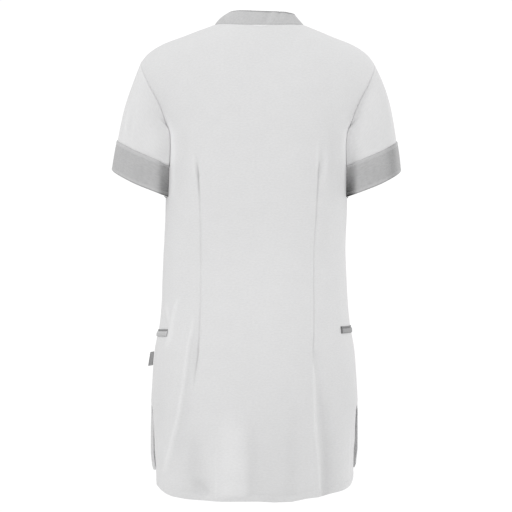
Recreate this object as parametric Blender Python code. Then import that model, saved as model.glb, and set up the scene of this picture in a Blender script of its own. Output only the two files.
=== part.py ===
"""Short-sleeved medical tunic, in the hollow form it has when it is worn.

The row frame: the origin lies midway between the two neck points of the shoulder seams, +X is the wearer's
right, +Y the wearer's front and +Z up. Every size below is in millimetres and is turned into metres where a
mesh is made.

The body is one smooth form, a stack of rounded sections. The back and front panels are sheets on that form,
cut out at the neck, the armholes, the side seams and the hem. Sleeves, cuffs, neck band, pocket lips and
pocket bags start from the same form, so that their edges meet the panels with a seam's gap.
"""

import math

import bmesh
import bpy
import numpy as np

MM = 0.001  # metres

BACK, FRONT = -1, 1  # also the sign of y there
LEFT, RIGHT = -1, 1  # the wearer's, also the sign of x there

# Driving sizes.
NECK_HALF_WIDTH = 79.0
SHOULDER_TIP_Z = -67.0
UNDERARM_Z = -222.0
HEM_Z = {BACK: -815.5, FRONT: -796.0}
SLIT_TOP_Z = -656.0
BACK_NECK_Z = -8.0
FRONT_V_Z = -190.0
FRONT_SPLIT_Z = -300.0  # the front's rows from here up follow the V
FRONT_V_BOW = 0.87  # 1 is a straight V
CUFF_HEIGHT = 50.0
POCKET_Z = {LEFT: -533.0, RIGHT: -527.0}  # the mouth's height
POCKET_REACH = {BACK: 64.0, FRONT: 92.0}  # along the cloth, from the side seam
UPPER_LIP, LOWER_LIP = 4.5, 8.5
BAG_DEPTH = 105.0
BAG_REACH = {BACK: 60.0, FRONT: 88.0}
TAG_TOP_Z = -569.0
TAG_LENGTH = 24.0
TAG_WIDTH = 5.2
TAG_SPREAD = 1.8  # so much wider at its lower end

# Cloth and sewing.
CLOTH = 1.5
TRIM_CLOTH = 1.5
SEAM = 0.2  # each piece stops this far short of its seam line
BAND_GAP = 0.45  # between a panel's neck edge and the band
LAYER = 0.5  # between a panel and what lies on it
LIP_GAP = 0.35
UPPER_LIP_THICK, LOWER_LIP_THICK = 1.2, 1.9
BAG_CLOTH = 1.0
TAG_THICK = 1.2

# The outline from the front: z, half width, and how far the middle of the body hangs off the frame's middle.
OUTLINE = np.array(
    [
        (-830.0, 182.0, -2.6),
        (-707.0, 182.0, -2.6),
        (-656.0, 180.4, -2.6),
        (-619.0, 178.5, -2.6),
        (-567.0, 174.6, -2.5),
        (-545.0, 170.8, -2.3),
        (-530.0, 167.6, -2.1),
        (-514.0, 165.4, -2.0),
        (-479.0, 162.4, -2.2),
        (-444.0, 161.0, -2.6),
        (-402.0, 159.2, -2.6),
        (-374.0, 158.4, -1.8),
        (-332.0, 158.4, 0.0),
        (-260.0, 158.4, 1.4),
        (-222.0, 158.6, 2.0),
        (-193.0, 161.0, 2.4),
        (-162.0, 173.5, 2.6),
        (-136.0, 187.0, 2.6),
        (-106.0, 203.5, 2.6),
        (-84.0, 208.0, 2.6),
        (-67.0, 205.0, 2.6),
        (-61.0, 201.0, 2.7),
        (-52.0, 194.0, 2.8),
        (-41.0, 180.0, 3.0),
        (-32.0, 163.0, 3.3),
        (-21.5, 135.0, 3.8),
        (-12.0, 111.0, 4.4),
        (-6.0, 95.0, 5.0),
        (0.0, 79.0, 5.5),
    ]
)

# The profile down the middle of the back and of the front: z, depth, and how full the section's corners are
# (2 is an ellipse, more is squarer).
PROFILE = {
    BACK: np.array(
        [
            (-830.0, 129.0, 2.25),
            (-656.0, 129.0, 2.25),
            (-619.0, 128.0, 2.25),
            (-567.0, 124.0, 2.25),
            (-514.0, 118.0, 2.25),
            (-444.0, 109.5, 2.3),
            (-402.0, 107.5, 2.3),
            (-374.0, 109.0, 2.35),
            (-304.0, 117.0, 2.4),
            (-250.0, 121.0, 2.4),
            (-200.0, 120.5, 2.4),
            (-150.0, 116.0, 2.35),
            (-100.0, 106.0, 2.2),
            (-60.0, 94.0, 2.1),
            (-30.0, 83.0, 2.0),
            (0.0, 70.0, 2.0),
        ]
    ),
    FRONT: np.array(
        [
            (-830.0, 131.0, 2.3),
            (-656.0, 130.0, 2.3),
            (-567.0, 127.0, 2.3),
            (-514.0, 123.0, 2.3),
            (-444.0, 118.0, 2.35),
            (-402.0, 117.0, 2.35),
            (-374.0, 119.0, 2.4),
            (-304.0, 131.0, 2.5),
            (-270.0, 139.0, 2.6),
            (-235.0, 142.0, 2.65),
            (-190.0, 137.0, 2.6),
            (-150.0, 127.0, 2.45),
            (-100.0, 108.0, 2.3),
            (-60.0, 90.0, 2.1),
            (-30.0, 74.0, 2.0),
            (0.0, 58.0, 2.0),
        ]
    ),
}

# How deep the armhole reaches to the back and to the front of the shoulder seam.
ARMHOLE_REACH = {BACK: 51.0, FRONT: 66.0}

# The sleeve's hem: its middle, and from there to its outermost and its rearmost point.
SLEEVE_HEM = np.array([(201.0, 8.0, -274.0), (51.0, 0.0, 22.5), (0.0, -61.0, -9.0)])
SLEEVE_HEM_FULL = 0.92  # 1 is an ellipse, less is squarer

# Where a sleeve's cloth heads as it leaves the armhole: turn round the armhole from the shoulder seam over the
# back, in degrees, then the direction.
SLEEVE_LEAVES = np.array(
    [
        (0.0, 0.42, 0.0, -0.91),
        (45.0, 0.62, -0.25, -0.75),
        (90.0, 0.72, -0.28, -0.62),
        (135.0, 0.55, -0.15, -0.8),
        (165.0, 0.15, -0.03, -0.98),
        (180.0, 0.04, 0.0, -1.0),
        (195.0, 0.15, 0.03, -0.98),
        (225.0, 0.5, 0.2, -0.82),
        (270.0, 0.66, 0.3, -0.66),
        (315.0, 0.6, 0.25, -0.76),
        (360.0, 0.42, 0.0, -0.91),
    ]
)

# A sleeve's inner side hangs against the body: from this height down over a short way it is pressed off it.
PRESS_Z = -205.0
PRESS_WAY = 22.0
PRESS_SOFT = 3.0
SLEEVE_CLEAR = LAYER + TRIM_CLOTH + 0.9  # leaves room for the cuff

# The neck band's free edge, from the middle of the back to the V's point, as x from the body's middle, y and z.
BAND_EDGE = np.array(
    [
        (0.0, -55.0, 19.5),
        (22.0, -52.0, 20.0),
        (43.0, -40.0, 21.0),
        (56.0, -18.0, 20.5),
        (59.0, 8.0, 17.0),
        (56.0, 34.0, 4.0),
        (48.0, 58.0, -16.0),
        (35.5, 79.0, -43.0),
        (19.0, 97.0, -74.0),
        (0.0, 110.5, -106.0),
    ]
)
BAND_BOW = 2.0  # the band stands this far off a straight cone
BAND_LEAN = 0.03  # the band's free edge behind sits this much higher to the wearer's left, per millimetre

# Folds of the hanging cloth, as soft ridges (height above 0) and troughs on a panel:
# side, x and z of the upper end, x and z of the lower end, half widths there, heights there.
FOLDS = [
    (BACK, -110.0, -494.0, -162.0, -775.0, 7.0, 11.0, 2.0, 4.0),
    (BACK, -100.0, -650.0, -100.0, -830.0, 14.0, 22.0, -0.5, -6.0),
    (BACK, 94.0, -590.0, 104.0, -830.0, 7.0, 9.0, 1.0, 4.0),
    (BACK, 99.0, -560.0, 124.0, -830.0, 8.0, 19.0, -1.5, -8.5),
    (BACK, 5.0, -600.0, 2.0, -830.0, 20.0, 26.0, -0.5, -3.0),
    (BACK, -68.0, -640.0, -62.0, -830.0, 14.0, 22.0, 0.5, 4.0),
    (BACK, 55.0, -620.0, 58.0, -830.0, 18.0, 22.0, 0.3, 2.5),
    (FRONT, -88.0, -540.0, -98.0, -830.0, 14.0, 22.0, 0.8, 5.0),
    (FRONT, 92.0, -560.0, 104.0, -830.0, 12.0, 20.0, 0.8, 5.0),
    (FRONT, -42.0, -600.0, -46.0, -830.0, 14.0, 22.0, -0.5, -4.5),
    (FRONT, 48.0, -590.0, 44.0, -830.0, 14.0, 22.0, -0.5, -4.5),
    (FRONT, 2.0, -640.0, 4.0, -830.0, 14.0, 22.0, 0.3, 3.0),
]

# The free edges beside the slits: how far a panel's edge stands off the form, down the slit from its top (0)
# to the hem (1), and how far it draws back from the seam line by the time it reaches the hem.
SLIT_EDGE = {
    BACK: np.array([(0.0, 0.0), (0.22, -4.5), (0.5, -6.0), (1.0, -10.0)]),
    FRONT: np.array([(0.0, 0.0), (0.3, 0.6), (1.0, 0.2)]),
}
SLIT_OPENING = {BACK: 2.0, FRONT: 3.0}

# How far a hem rises towards its rounded corners: share of the half width, from the wearer's left (-1) to the
# right (1), and rise.
HEM_RISE = {
    BACK: np.array(
        [
            (-1.0, 18.0),
            (-0.95, 10.0),
            (-0.87, 5.0),
            (-0.78, 2.5),
            (-0.6, 0.6),
            (0.0, 0.0),
            (0.35, 0.8),
            (0.55, 3.4),
            (0.7, 7.0),
            (0.82, 9.6),
            (0.9, 14.0),
            (0.96, 20.0),
            (1.0, 26.0),
        ]
    ),
    FRONT: np.array(
        [
            (-1.0, 52.0),
            (-0.97, 34.0),
            (-0.93, 22.0),
            (-0.85, 11.0),
            (-0.72, 3.0),
            (-0.55, 0.0),
            (0.55, 0.0),
            (0.72, 3.0),
            (0.85, 11.0),
            (0.93, 22.0),
            (0.97, 34.0),
            (1.0, 52.0),
        ]
    ),
}

COLOURS = {
    "white cloth": (0.76, 0.76, 0.76),
    "grey cloth": (0.42, 0.42, 0.42),
    "tag": (0.22, 0.22, 0.22),
}
CLOTH_ROUGHNESS = 0.85

# Mesh counts.
ROWS_BELOW = 18
ROWS_ABOVE = 12
COLUMNS_NECK = 7
COLUMNS_SHOULDER = 10
COLUMNS_HIP = 10  # that a pocket may lie on
SLEEVE_ROWS = 6  # above the cuff
BAND_ROWS = 4
BAG_ROWS = 6
TAG_ROWS = 3


def through(table, column, z):
    """The table's column at height z, on a smooth curve that never overshoots its rows."""
    levels, values = table[:, 0], table[:, column]
    step = np.diff(levels)
    slope = np.diff(values) / step
    before, after = slope[:-1], slope[1:]
    turning = before * after <= 0
    inner = np.where(turning, 0.0, 2 * before * after / np.where(turning, 1.0, before + after))
    slopes = np.concatenate([slope[:1], inner, slope[-1:]])
    z = np.asarray(z, float)
    i = np.clip(np.searchsorted(levels, z) - 1, 0, len(step) - 1)
    t = (z - levels[i]) / step[i]
    rise = values[i] + t * step[i] * slopes[i]
    bend = 3 * slope[i] - 2 * slopes[i] - slopes[i + 1]
    twist = slopes[i] + slopes[i + 1] - 2 * slope[i]
    return rise + step[i] * (bend * t**2 + twist * t**3)


def half_width(z):
    return through(OUTLINE, 1, z)


def middle(z):
    return through(OUTLINE, 2, z)


def body_y(side, x, z):
    """y of the form at x, counted from the body's middle, and z."""
    full = through(PROFILE[side], 2, z)
    share = np.clip(np.abs(x) / half_width(z), 0, 1)
    return side * through(PROFILE[side], 1, z) * (1 - share**full) ** (1 / full)


def body_x(side, y, z):
    """The form's half width at y and z."""
    full = through(PROFILE[side], 2, z)
    share = np.clip(np.abs(y) / through(PROFILE[side], 1, z), 0, 1)
    return half_width(z) * (1 - share**full) ** (1 / full)


def body_normal(side, points):
    """The form's outward directions at points on it."""
    x, y, z = points[..., 0], points[..., 1], points[..., 2]

    def beyond(z):
        full = through(PROFILE[side], 2, z)
        across = np.abs(x - middle(z)) / half_width(z)
        along = np.abs(y) / through(PROFILE[side], 1, z)
        return across**full + along**full

    full = through(PROFILE[side], 2, z)
    wide, deep = half_width(z), through(PROFILE[side], 1, z)
    out_x = full * (np.abs(x - middle(z)) / wide) ** (full - 1) * np.sign(x - middle(z)) / wide
    out_y = full * (np.abs(y) / deep) ** (full - 1) * side / deep
    step = 0.25
    out_z = (beyond(z + step) - beyond(z - step)) / (2 * step)
    return unit(np.stack([out_x, out_y, out_z], axis=-1))


def unit(vectors):
    return vectors / np.linalg.norm(vectors, axis=-1, keepdims=True)


def smooth_step(t):
    t = np.clip(t, 0, 1)
    return t * t * (3 - 2 * t)


def swell(side, x, z):
    """How far the hanging cloth stands off the form at x and z, by its folds and beside the slits."""
    total = np.zeros(np.broadcast(x, z).shape)
    for where, x0, z0, x1, z1, wide0, wide1, high0, high1 in FOLDS:
        if where != side:
            continue
        along = (z0 - z) / (z0 - z1)
        t = np.clip(along, 0, 1)
        off = (x - (x0 + t * (x1 - x0))) / (wide0 + t * (wide1 - wide0))
        height = (high0 + t * (high1 - high0)) * smooth_step(along * 4 + 0.5)
        total = total + height * np.exp(-(off**2))
    down_slit = (SLIT_TOP_Z - z) / (SLIT_TOP_Z - HEM_Z[side])
    near_edge = smooth_step((np.abs(x) / half_width(z) - 0.8) / 0.2)
    edge = np.interp(down_slit, SLIT_EDGE[side][:, 0], SLIT_EDGE[side][:, 1])
    return total + edge * near_edge


def on_body(side, x, z):
    """Points of the hanging cloth at x and z, and the form's directions there."""
    points = np.stack([x + middle(z), body_y(side, x, z), z], axis=-1)
    normals = body_normal(side, points)
    return points + normals * swell(side, x, z)[..., None], normals


def lengths(points):
    """Distance along a line of points, from its first."""
    return np.concatenate([[0.0], np.cumsum(np.linalg.norm(np.diff(points, axis=0), axis=1))])


def armhole(side, turn):
    """x from the body's middle, y and z of the armhole's seam line, at a turn of 0 at the shoulder seam to pi
    at the underarm."""
    z = (SHOULDER_TIP_Z + UNDERARM_Z) / 2 + (SHOULDER_TIP_Z - UNDERARM_Z) / 2 * np.cos(turn)
    y = side * ARMHOLE_REACH[side] * np.sin(turn)
    return body_x(side, y, z), y, z


def shoulder_z(x):
    """Height of the shoulder seam at x from the body's middle."""
    z = np.linspace(SHOULDER_TIP_Z, 0, 400)
    return np.interp(x, half_width(z)[::-1], z[::-1])


def neck_z(side, x):
    """Height of the neck's seam line at x from the body's middle: a shallow scoop behind, a V in front."""
    share = np.clip(np.abs(x) / NECK_HALF_WIDTH, 0, 1)
    if side == BACK:
        return BACK_NECK_Z * (1 - share**2)
    return FRONT_V_Z * (1 - share) ** FRONT_V_BOW


def top_z(side, x):
    x = np.abs(x)
    return np.where(x < NECK_HALF_WIDTH, neck_z(side, x), shoulder_z(x))


def panel_row(side, row):
    """The function that gives x and z of one row of a panel at a share u of its reach, from -1 at the wearer's
    left edge to 1 at the right."""
    hem_edge = HEM_Z[side] + HEM_RISE[side][-1, 1]
    middle_split = UNDERARM_Z if side == BACK else FRONT_SPLIT_Z
    low = min(row / ROWS_BELOW, 1.0)
    high = max(row - ROWS_BELOW, 0) / ROWS_ABOVE
    if high == 0:
        edge_z = hem_edge + (UNDERARM_Z - hem_edge) * low
        edge_x = half_width(edge_z)
    else:
        edge_x, _, edge_z = armhole(side, math.pi * (1 - high))
    middle_top = neck_z(side, 0.0)
    middle_z = HEM_Z[side] + (middle_split - HEM_Z[side]) * low
    middle_z = middle_z + (middle_top - middle_z) * math.sin(high * math.pi / 2)
    tip_x = half_width(SHOULDER_TIP_Z)
    to_top = math.sin(high * math.pi / 2) ** 2
    to_hem = (1 - low) ** 5

    def at(u):
        bow = u**2
        top_bow = top_z(side, u * tip_x) - ((1 - bow) * middle_top + bow * SHOULDER_TIP_Z)
        rise = np.interp(u, HEM_RISE[side][:, 0], HEM_RISE[side][:, 1]) - HEM_RISE[side][-1, 1] * bow
        z = (1 - bow) * middle_z + bow * edge_z + to_top * top_bow + to_hem * rise
        return u * edge_x, z

    return at


def panel_half(side, row, hand, dense, split):
    """x and z of one row's stops from the middle to the edge on one hand, evenly spaced along the cloth."""
    at = panel_row(side, row)
    x, z = at(hand * dense)
    along = lengths(np.stack([x, body_y(side, x, z), z], axis=1))
    down_slit = np.clip((SLIT_TOP_Z - z[-1]) / (SLIT_TOP_Z - HEM_Z[side]), 0, 1)
    end = along[-1] - SEAM - SLIT_OPENING[side] * down_slit
    to_neck = np.linspace(0, along[split], COLUMNS_NECK + 1)[:-1]
    to_edge = np.linspace(along[split], end, COLUMNS_SHOULDER + 1)
    return at(hand * np.interp(np.concatenate([to_neck, to_edge]), along, dense))


def panel_grid(side):
    """Points and directions of a panel, rows from the hem to the shoulder, columns from the wearer's left to
    the right."""
    neck_share = NECK_HALF_WIDTH / half_width(SHOULDER_TIP_Z)
    dense = np.sort(np.append(np.sin(np.linspace(0, math.pi / 2, 240)), neck_share))
    split = int(np.searchsorted(dense, neck_share))
    rows = []
    for row in range(ROWS_BELOW + ROWS_ABOVE + 1):
        left = panel_half(side, row, -1, dense, split)
        right = panel_half(side, row, 1, dense, split)
        rows.append([np.concatenate([a[:0:-1], b]) for a, b in zip(left, right)])
    rows = np.array(rows)
    points, normals = on_body(side, rows[:, 0], rows[:, 1])
    points[-1] = points[-1] + SEAM * unit(points[-2] - points[-1])
    return points, normals


def grid_normals(points, closed=False):
    """Outward directions of a grid whose columns run round it, by the slopes between its neighbours."""
    if closed:
        across = np.roll(points, -1, axis=1) - np.roll(points, 1, axis=1)
    else:
        across = np.gradient(points, axis=1)
    return unit(np.cross(across, np.gradient(points, axis=0)))


def wall_object(name, outer, inner, colour, closed=False):
    """A closed cloth wall between an outer and an inner grid of points, as an object."""
    rows, columns = outer.shape[:2]
    mesh = bpy.data.meshes.new(name)
    form = bmesh.new()
    sheets = [[[form.verts.new(p * MM) for p in row] for row in grid] for grid in (outer, inner)]
    steps = columns if closed else columns - 1
    for r in range(rows - 1):
        for c in range(steps):
            d = (c + 1) % columns
            corners = [(r, c), (r, d), (r + 1, d), (r + 1, c)]
            form.faces.new([sheets[0][i][j] for i, j in corners])
            form.faces.new([sheets[1][i][j] for i, j in reversed(corners)])
    rim = [((0, (c + 1) % columns), (0, c)) for c in range(steps)]
    rim += [((rows - 1, c), (rows - 1, (c + 1) % columns)) for c in range(steps)]
    if not closed:
        rim += [((r, 0), (r + 1, 0)) for r in range(rows - 1)]
        rim += [((r + 1, columns - 1), (r, columns - 1)) for r in range(rows - 1)]
    for (i, j), (k, m) in rim:
        form.faces.new([sheets[0][i][j], sheets[0][k][m], sheets[1][k][m], sheets[1][i][j]])
    bmesh.ops.triangulate(form, faces=form.faces[:], quad_method="SHORT_EDGE")
    bmesh.ops.recalc_face_normals(form, faces=form.faces[:])
    form.to_mesh(mesh)
    form.free()
    mesh.shade_smooth()
    mesh.set_sharp_from_angle(angle=math.radians(40))
    mesh.materials.append(material(colour))
    bpy.context.scene.collection.objects.link(bpy.data.objects.new(name, mesh))


def material(colour):
    """The shared finish of that name: matt cloth."""
    found = bpy.data.materials.get(colour)
    if found:
        return found
    made = bpy.data.materials.new(colour)
    made.use_nodes = True
    shader = made.node_tree.nodes["Principled BSDF"]
    shader.inputs["Base Color"].default_value = (*COLOURS[colour], 1)
    shader.inputs["Roughness"].default_value = CLOTH_ROUGHNESS
    shader.inputs["Metallic"].default_value = 0.0
    return made


def sleeve_curves():
    """For each turn round the right sleeve, from the shoulder seam over the back to the underarm and up the
    front: its start on the armhole, its end on the sleeve's hem, its directions there and the form's."""
    turns = np.arange(2 * ROWS_ABOVE) * math.pi / ROWS_ABOVE
    starts, normals = [], []
    for turn in turns:
        side = BACK if turn <= math.pi else FRONT
        x, y, z = armhole(side, turn if side == BACK else 2 * math.pi - turn)
        point = np.array([x + middle(z), y, z])
        normals.append(body_normal(side, point))
        starts.append(point - [middle(z), 0, 0])
    starts, normals = np.array(starts), np.array(normals)
    along = unit(np.roll(starts, -1, axis=0) - np.roll(starts, 1, axis=0))
    away = unit(np.cross(normals, along))
    fold_under = np.sin(turns / 2)[:, None] ** 2
    starts = starts + 1.5 * SEAM * away + 2 * SEAM * fold_under * normals
    centre, outward, backward = SLEEVE_HEM
    wave = np.array([np.cos(turns), np.sin(turns)])
    wave = np.sign(wave) * np.abs(wave) ** SLEEVE_HEM_FULL
    ends = centre + wave[0][:, None] * outward + wave[1][:, None] * backward
    table = SLEEVE_LEAVES
    leave = unit(np.stack([np.interp(np.degrees(turns), table[:, 0], table[:, k]) for k in (1, 2, 3)], axis=1))
    arrive = unit(np.stack([0.07 + 0.09 * np.cos(turns), 0.08 + 0 * turns, -1 + 0 * turns], axis=1))
    return starts, ends, leave, arrive, normals


def pressed_off(points, amount):
    """The points of a sleeve, pushed clear of the body's side where the arm hangs against it."""
    x, y, z = points[..., 0], points[..., 1], points[..., 2]
    side_x = np.where(y < 0, body_x(BACK, y, z), body_x(FRONT, y, z)) + amount
    gap = x - side_x
    pushed = side_x + (gap + np.sqrt(gap**2 + PRESS_SOFT**2)) / 2
    return np.stack([pushed, y, z], axis=-1)


def sleeve_grid(hand):
    """Points and directions of a sleeve: rows from the armhole down to the hem, the last ones under the cuff,
    and columns round it."""
    starts, ends, leave, arrive, seam_normals = sleeve_curves()
    reach = np.linalg.norm(ends - starts, axis=1)[:, None]
    fine = []
    for t in np.linspace(0, 1, 80):
        a, b = 2 * t**3 - 3 * t**2 + 1, t**3 - 2 * t**2 + t
        c, d = 3 * t**2 - 2 * t**3, t**3 - t**2
        row = a * starts + b * reach * leave + c * ends + d * reach * arrive
        press = smooth_step(t / 0.22)
        low = smooth_step((PRESS_Z - row[:, 2]) / PRESS_WAY)[:, None]
        fine.append(row + press * low * (pressed_off(row, SLEEVE_CLEAR) - row))
    fine = np.array(fine)
    points = np.zeros((SLEEVE_ROWS + BAND_ROWS, len(starts), 3))
    for c in range(len(starts)):
        down = lengths(fine[:, c])
        cuff_top = down[-1] - CUFF_HEIGHT
        stops = np.concatenate(
            [np.linspace(0, cuff_top, SLEEVE_ROWS + 1)[:-1], np.linspace(cuff_top, down[-1], BAND_ROWS)]
        )
        points[:, c] = np.stack([np.interp(stops, down, fine[:, c, k]) for k in range(3)], axis=1)
    normals = grid_normals(points, closed=True)
    under = np.sin(np.arange(len(starts)) * math.pi / len(starts))[:, None] ** 4
    normals[0] = unit((1 - under) * seam_normals + under * normals[0])
    points[..., 0] = hand * points[..., 0] + middle(points[..., 2])
    return points, normals * [hand, 1, 1]


def sleeve(hand, word):
    """A sleeve and the turned-up cuff that lies round its hem."""
    points, normals = sleeve_grid(hand)
    wall_object(f"sleeve_{word}", points, points - CLOTH * normals, "white cloth", closed=True)
    inner = points[-BAND_ROWS:] + LAYER * normals[-BAND_ROWS:]
    outer = inner + TRIM_CLOTH * normals[-BAND_ROWS:]
    wall_object(f"cuff_{word}", outer, inner, "grey cloth", closed=True)


def smooth_line(points, count):
    """Points evenly spaced on a smooth line through the given ones."""
    spaced = lengths(points)
    table = np.column_stack([spaced, points])
    at = np.linspace(0, spaced[-1], 300)
    line = np.stack([through(table, k, at) for k in (1, 2, 3)], axis=1)
    along = lengths(line)
    stops = np.linspace(0, along[-1], count)
    return np.stack([np.interp(stops, along, line[:, k]) for k in range(3)], axis=1)


def band_seam(panels):
    """The neck's seam line a seam's gap inside the panels' top edges, from the middle of the back to the V's
    point, with the form's directions there."""
    edges, ways = {}, {}
    for side in (BACK, FRONT):
        points, normals = panels[side]
        centre = points.shape[1] // 2
        edges[side] = points[-1, centre : centre + COLUMNS_NECK + 1]
        ways[side] = normals[-1, centre : centre + COLUMNS_NECK + 1]
    joined = []
    for part in (edges, ways):
        shoulder = (part[BACK][-1] + part[FRONT][-1]) / 2
        joined.append(np.concatenate([part[BACK][:-1], [shoulder], part[FRONT][-2::-1]]))
    line, normals = joined[0], unit(joined[1])
    mirrored = np.concatenate([[line[1] * [-1, 1, 1] + [2 * line[0, 0], 0, 0]], line, line[-1:]])
    along = unit(mirrored[2:] - mirrored[:-2])
    seam = line + BAND_GAP * unit(np.cross(normals, along))
    seam[-1, 2] += 2.5 * BAND_GAP
    return seam, normals


def neck_band(panels, name):
    """The band round the neck and down both sides of the V, its ends mitred at the middle of the front."""
    seam, seam_normals = band_seam(panels)
    free = BAND_EDGE.copy()
    free[:, 0] += middle(free[:, 2])
    inner_line = smooth_line(free, len(seam))
    bow = BAND_BOW * np.sin(math.pi * np.linspace(0, 1, BAND_ROWS))[:, None, None]
    right = np.array([seam + t * (inner_line - seam) for t in np.linspace(0, 1, BAND_ROWS)])
    right = right + bow * grid_normals(right)
    right[:, -1, 0] = middle(right[:, -1, 2]) + SEAM
    left = right.copy()
    left[..., 0] = 2 * middle(left[..., 2]) - left[..., 0]
    points = np.concatenate([left[:, :0:-1], right], axis=1)
    behind = smooth_step((20 - points[..., 1]) / 60) * np.linspace(0, 1, BAND_ROWS)[:, None]
    points[..., 2] -= BAND_LEAN * behind * (points[..., 0] - middle(points[..., 2]))
    normals = grid_normals(points)
    mirrored = seam_normals * [-1, 1, 1]
    normals[0] = np.concatenate([mirrored[:0:-1], seam_normals])
    wall_object(name, points, points - TRIM_CLOTH * normals, "grey cloth")


def hip_line(panels, hand, reach, z):
    """Points and directions of the cloth round one hip at height z, on the panels' own columns, from an arc
    behind the side seam to an arc in front of it."""
    halves = []
    for side in (BACK, FRONT):
        points, normals = panels[side]
        near = slice(-1, -COLUMNS_HIP - 1, -1) if hand > 0 else slice(0, COLUMNS_HIP)
        line = []
        for c in range(*near.indices(points.shape[1])):
            down = points[: ROWS_BELOW + 1, c, 2]
            both = np.concatenate([points[: ROWS_BELOW + 1, c], normals[: ROWS_BELOW + 1, c]], axis=1)
            line.append([np.interp(z, down, both[:, k]) for k in range(6)])
        line = np.array(line)
        along = lengths(line[:, :3])
        keep = line[along < reach[side] - 1.0]
        end = [np.interp(reach[side], along, line[:, k]) for k in range(6)]
        halves.append(np.vstack([keep, end]))
    whole = np.concatenate([halves[0][::-1], halves[1]])
    return whole[:, :3], unit(whole[:, 3:])


def hip_strip(panels, hand, name, top, drop, reach, lift, thick, colour, rows):
    """A strip of cloth round a hip, on the panels' own points moved out by lift, or in if that is negative."""
    inner, outer = [], []
    for t in np.linspace(0, 1, rows):
        points, normals = hip_line(panels, hand, reach, top - t * drop)
        inner.append(points + lift * normals)
        outer.append(points + (lift + thick) * normals)
    wall_object(name, np.array(outer), np.array(inner), colour)


def pocket(panels, hand, word):
    """Two lips of a cut pocket round the hip, across the side seam, and the bag that hangs inside."""
    mouth = POCKET_Z[hand]
    above, on, under = mouth + UPPER_LIP + LIP_GAP, LAYER, -CLOTH - LAYER - BAG_CLOTH
    strips = [
        ("upper_lip", above, UPPER_LIP, POCKET_REACH, on, UPPER_LIP_THICK, "grey cloth", 2),
        ("lower_lip", mouth, LOWER_LIP, POCKET_REACH, on, LOWER_LIP_THICK, "grey cloth", 2),
        ("bag", mouth, BAG_DEPTH, BAG_REACH, under, BAG_CLOTH, "white cloth", BAG_ROWS),
    ]
    for part, top, drop, reach, lift, thick, colour, rows in strips:
        hip_strip(panels, hand, f"pocket_{word}_{part}", top, drop, reach, lift, thick, colour, rows)


def side_tag(name):
    """The small blank tag sewn into the left side seam below the pocket."""
    outer, inner = [], []
    for t in np.linspace(0, 1, TAG_ROWS):
        z = TAG_TOP_Z - TAG_LENGTH * t
        near = middle(z) - half_width(z) - LAYER
        far = near - TAG_WIDTH - TAG_SPREAD * t
        row = np.array([[near, 0.0, z], [far, 0.0, z]])
        outer.append(row - [0, TAG_THICK / 2, 0])
        inner.append(row + [0, TAG_THICK / 2, 0])
    wall_object(name, np.array(outer), np.array(inner), "tag")


def main():
    for old in list(bpy.data.objects):
        bpy.data.objects.remove(old)
    panels = {side: panel_grid(side) for side in (BACK, FRONT)}
    for side, name in ((BACK, "back_panel"), (FRONT, "front_panel")):
        points, normals = panels[side]
        wall_object(name, points, points - CLOTH * normals, "white cloth")
    for hand, word in ((LEFT, "left"), (RIGHT, "right")):
        sleeve(hand, word)
        pocket(panels, hand, word)
    neck_band(panels, "neck_band")
    side_tag("side_tag")


main()
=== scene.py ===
import math

import bpy
import numpy as np
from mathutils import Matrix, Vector


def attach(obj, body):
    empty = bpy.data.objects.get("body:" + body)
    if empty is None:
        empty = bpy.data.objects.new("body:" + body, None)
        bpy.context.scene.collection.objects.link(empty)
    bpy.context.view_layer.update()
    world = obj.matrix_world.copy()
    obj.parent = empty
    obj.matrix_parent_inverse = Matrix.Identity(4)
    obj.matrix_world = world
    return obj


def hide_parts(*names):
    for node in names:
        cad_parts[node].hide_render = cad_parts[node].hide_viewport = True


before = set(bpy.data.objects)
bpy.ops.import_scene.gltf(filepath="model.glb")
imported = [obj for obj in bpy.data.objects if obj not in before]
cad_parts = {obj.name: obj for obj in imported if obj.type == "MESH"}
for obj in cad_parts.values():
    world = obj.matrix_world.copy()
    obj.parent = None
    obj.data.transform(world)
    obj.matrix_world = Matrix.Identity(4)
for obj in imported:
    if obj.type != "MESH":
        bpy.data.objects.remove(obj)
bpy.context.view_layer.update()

# Looks of a short-sleeved medical tunic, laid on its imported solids. Sizes are in millimetres in the row
# frame: the origin lies between the shoulder seams' neck points, +X is the wearer's right, +Y the front, +Z up.

MM = 0.001  # metres

BACK, FRONT = -1, 1
LEFT, RIGHT = -1, 1
WORDS = {LEFT: "left", RIGHT: "right"}

# ---- the form ----
# These are the part's own values, but the neckline, pockets, tag, slits and hem are fitted to what shows.

NECK_HALF_WIDTH = 79.0
SHOULDER_TIP_Z = -67.0
UNDERARM_Z = -222.0
HEM_Z = {BACK: -815.5, FRONT: -796.0}
SLIT_TOP_Z = -656.0
BACK_NECK_Z = -6.8
FRONT_V_Z = -190.0
FRONT_SPLIT_Z = -300.0
FRONT_V_BOW = 0.87
CUFF_HEIGHT = 50.0
POCKET_Z = {LEFT: -534.0, RIGHT: -527.0}
LOWER_LIP = 8.5
BAG_DEPTH = 105.0
BAG_REACH = {BACK: 60.0, FRONT: 88.0}
TAG_TOP_Z = -569.0
TAG_LENGTH = 24.0
TAG_WIDTH = 6.6
TAG_SPREAD = 1.8
LAYER = 0.5

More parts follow.
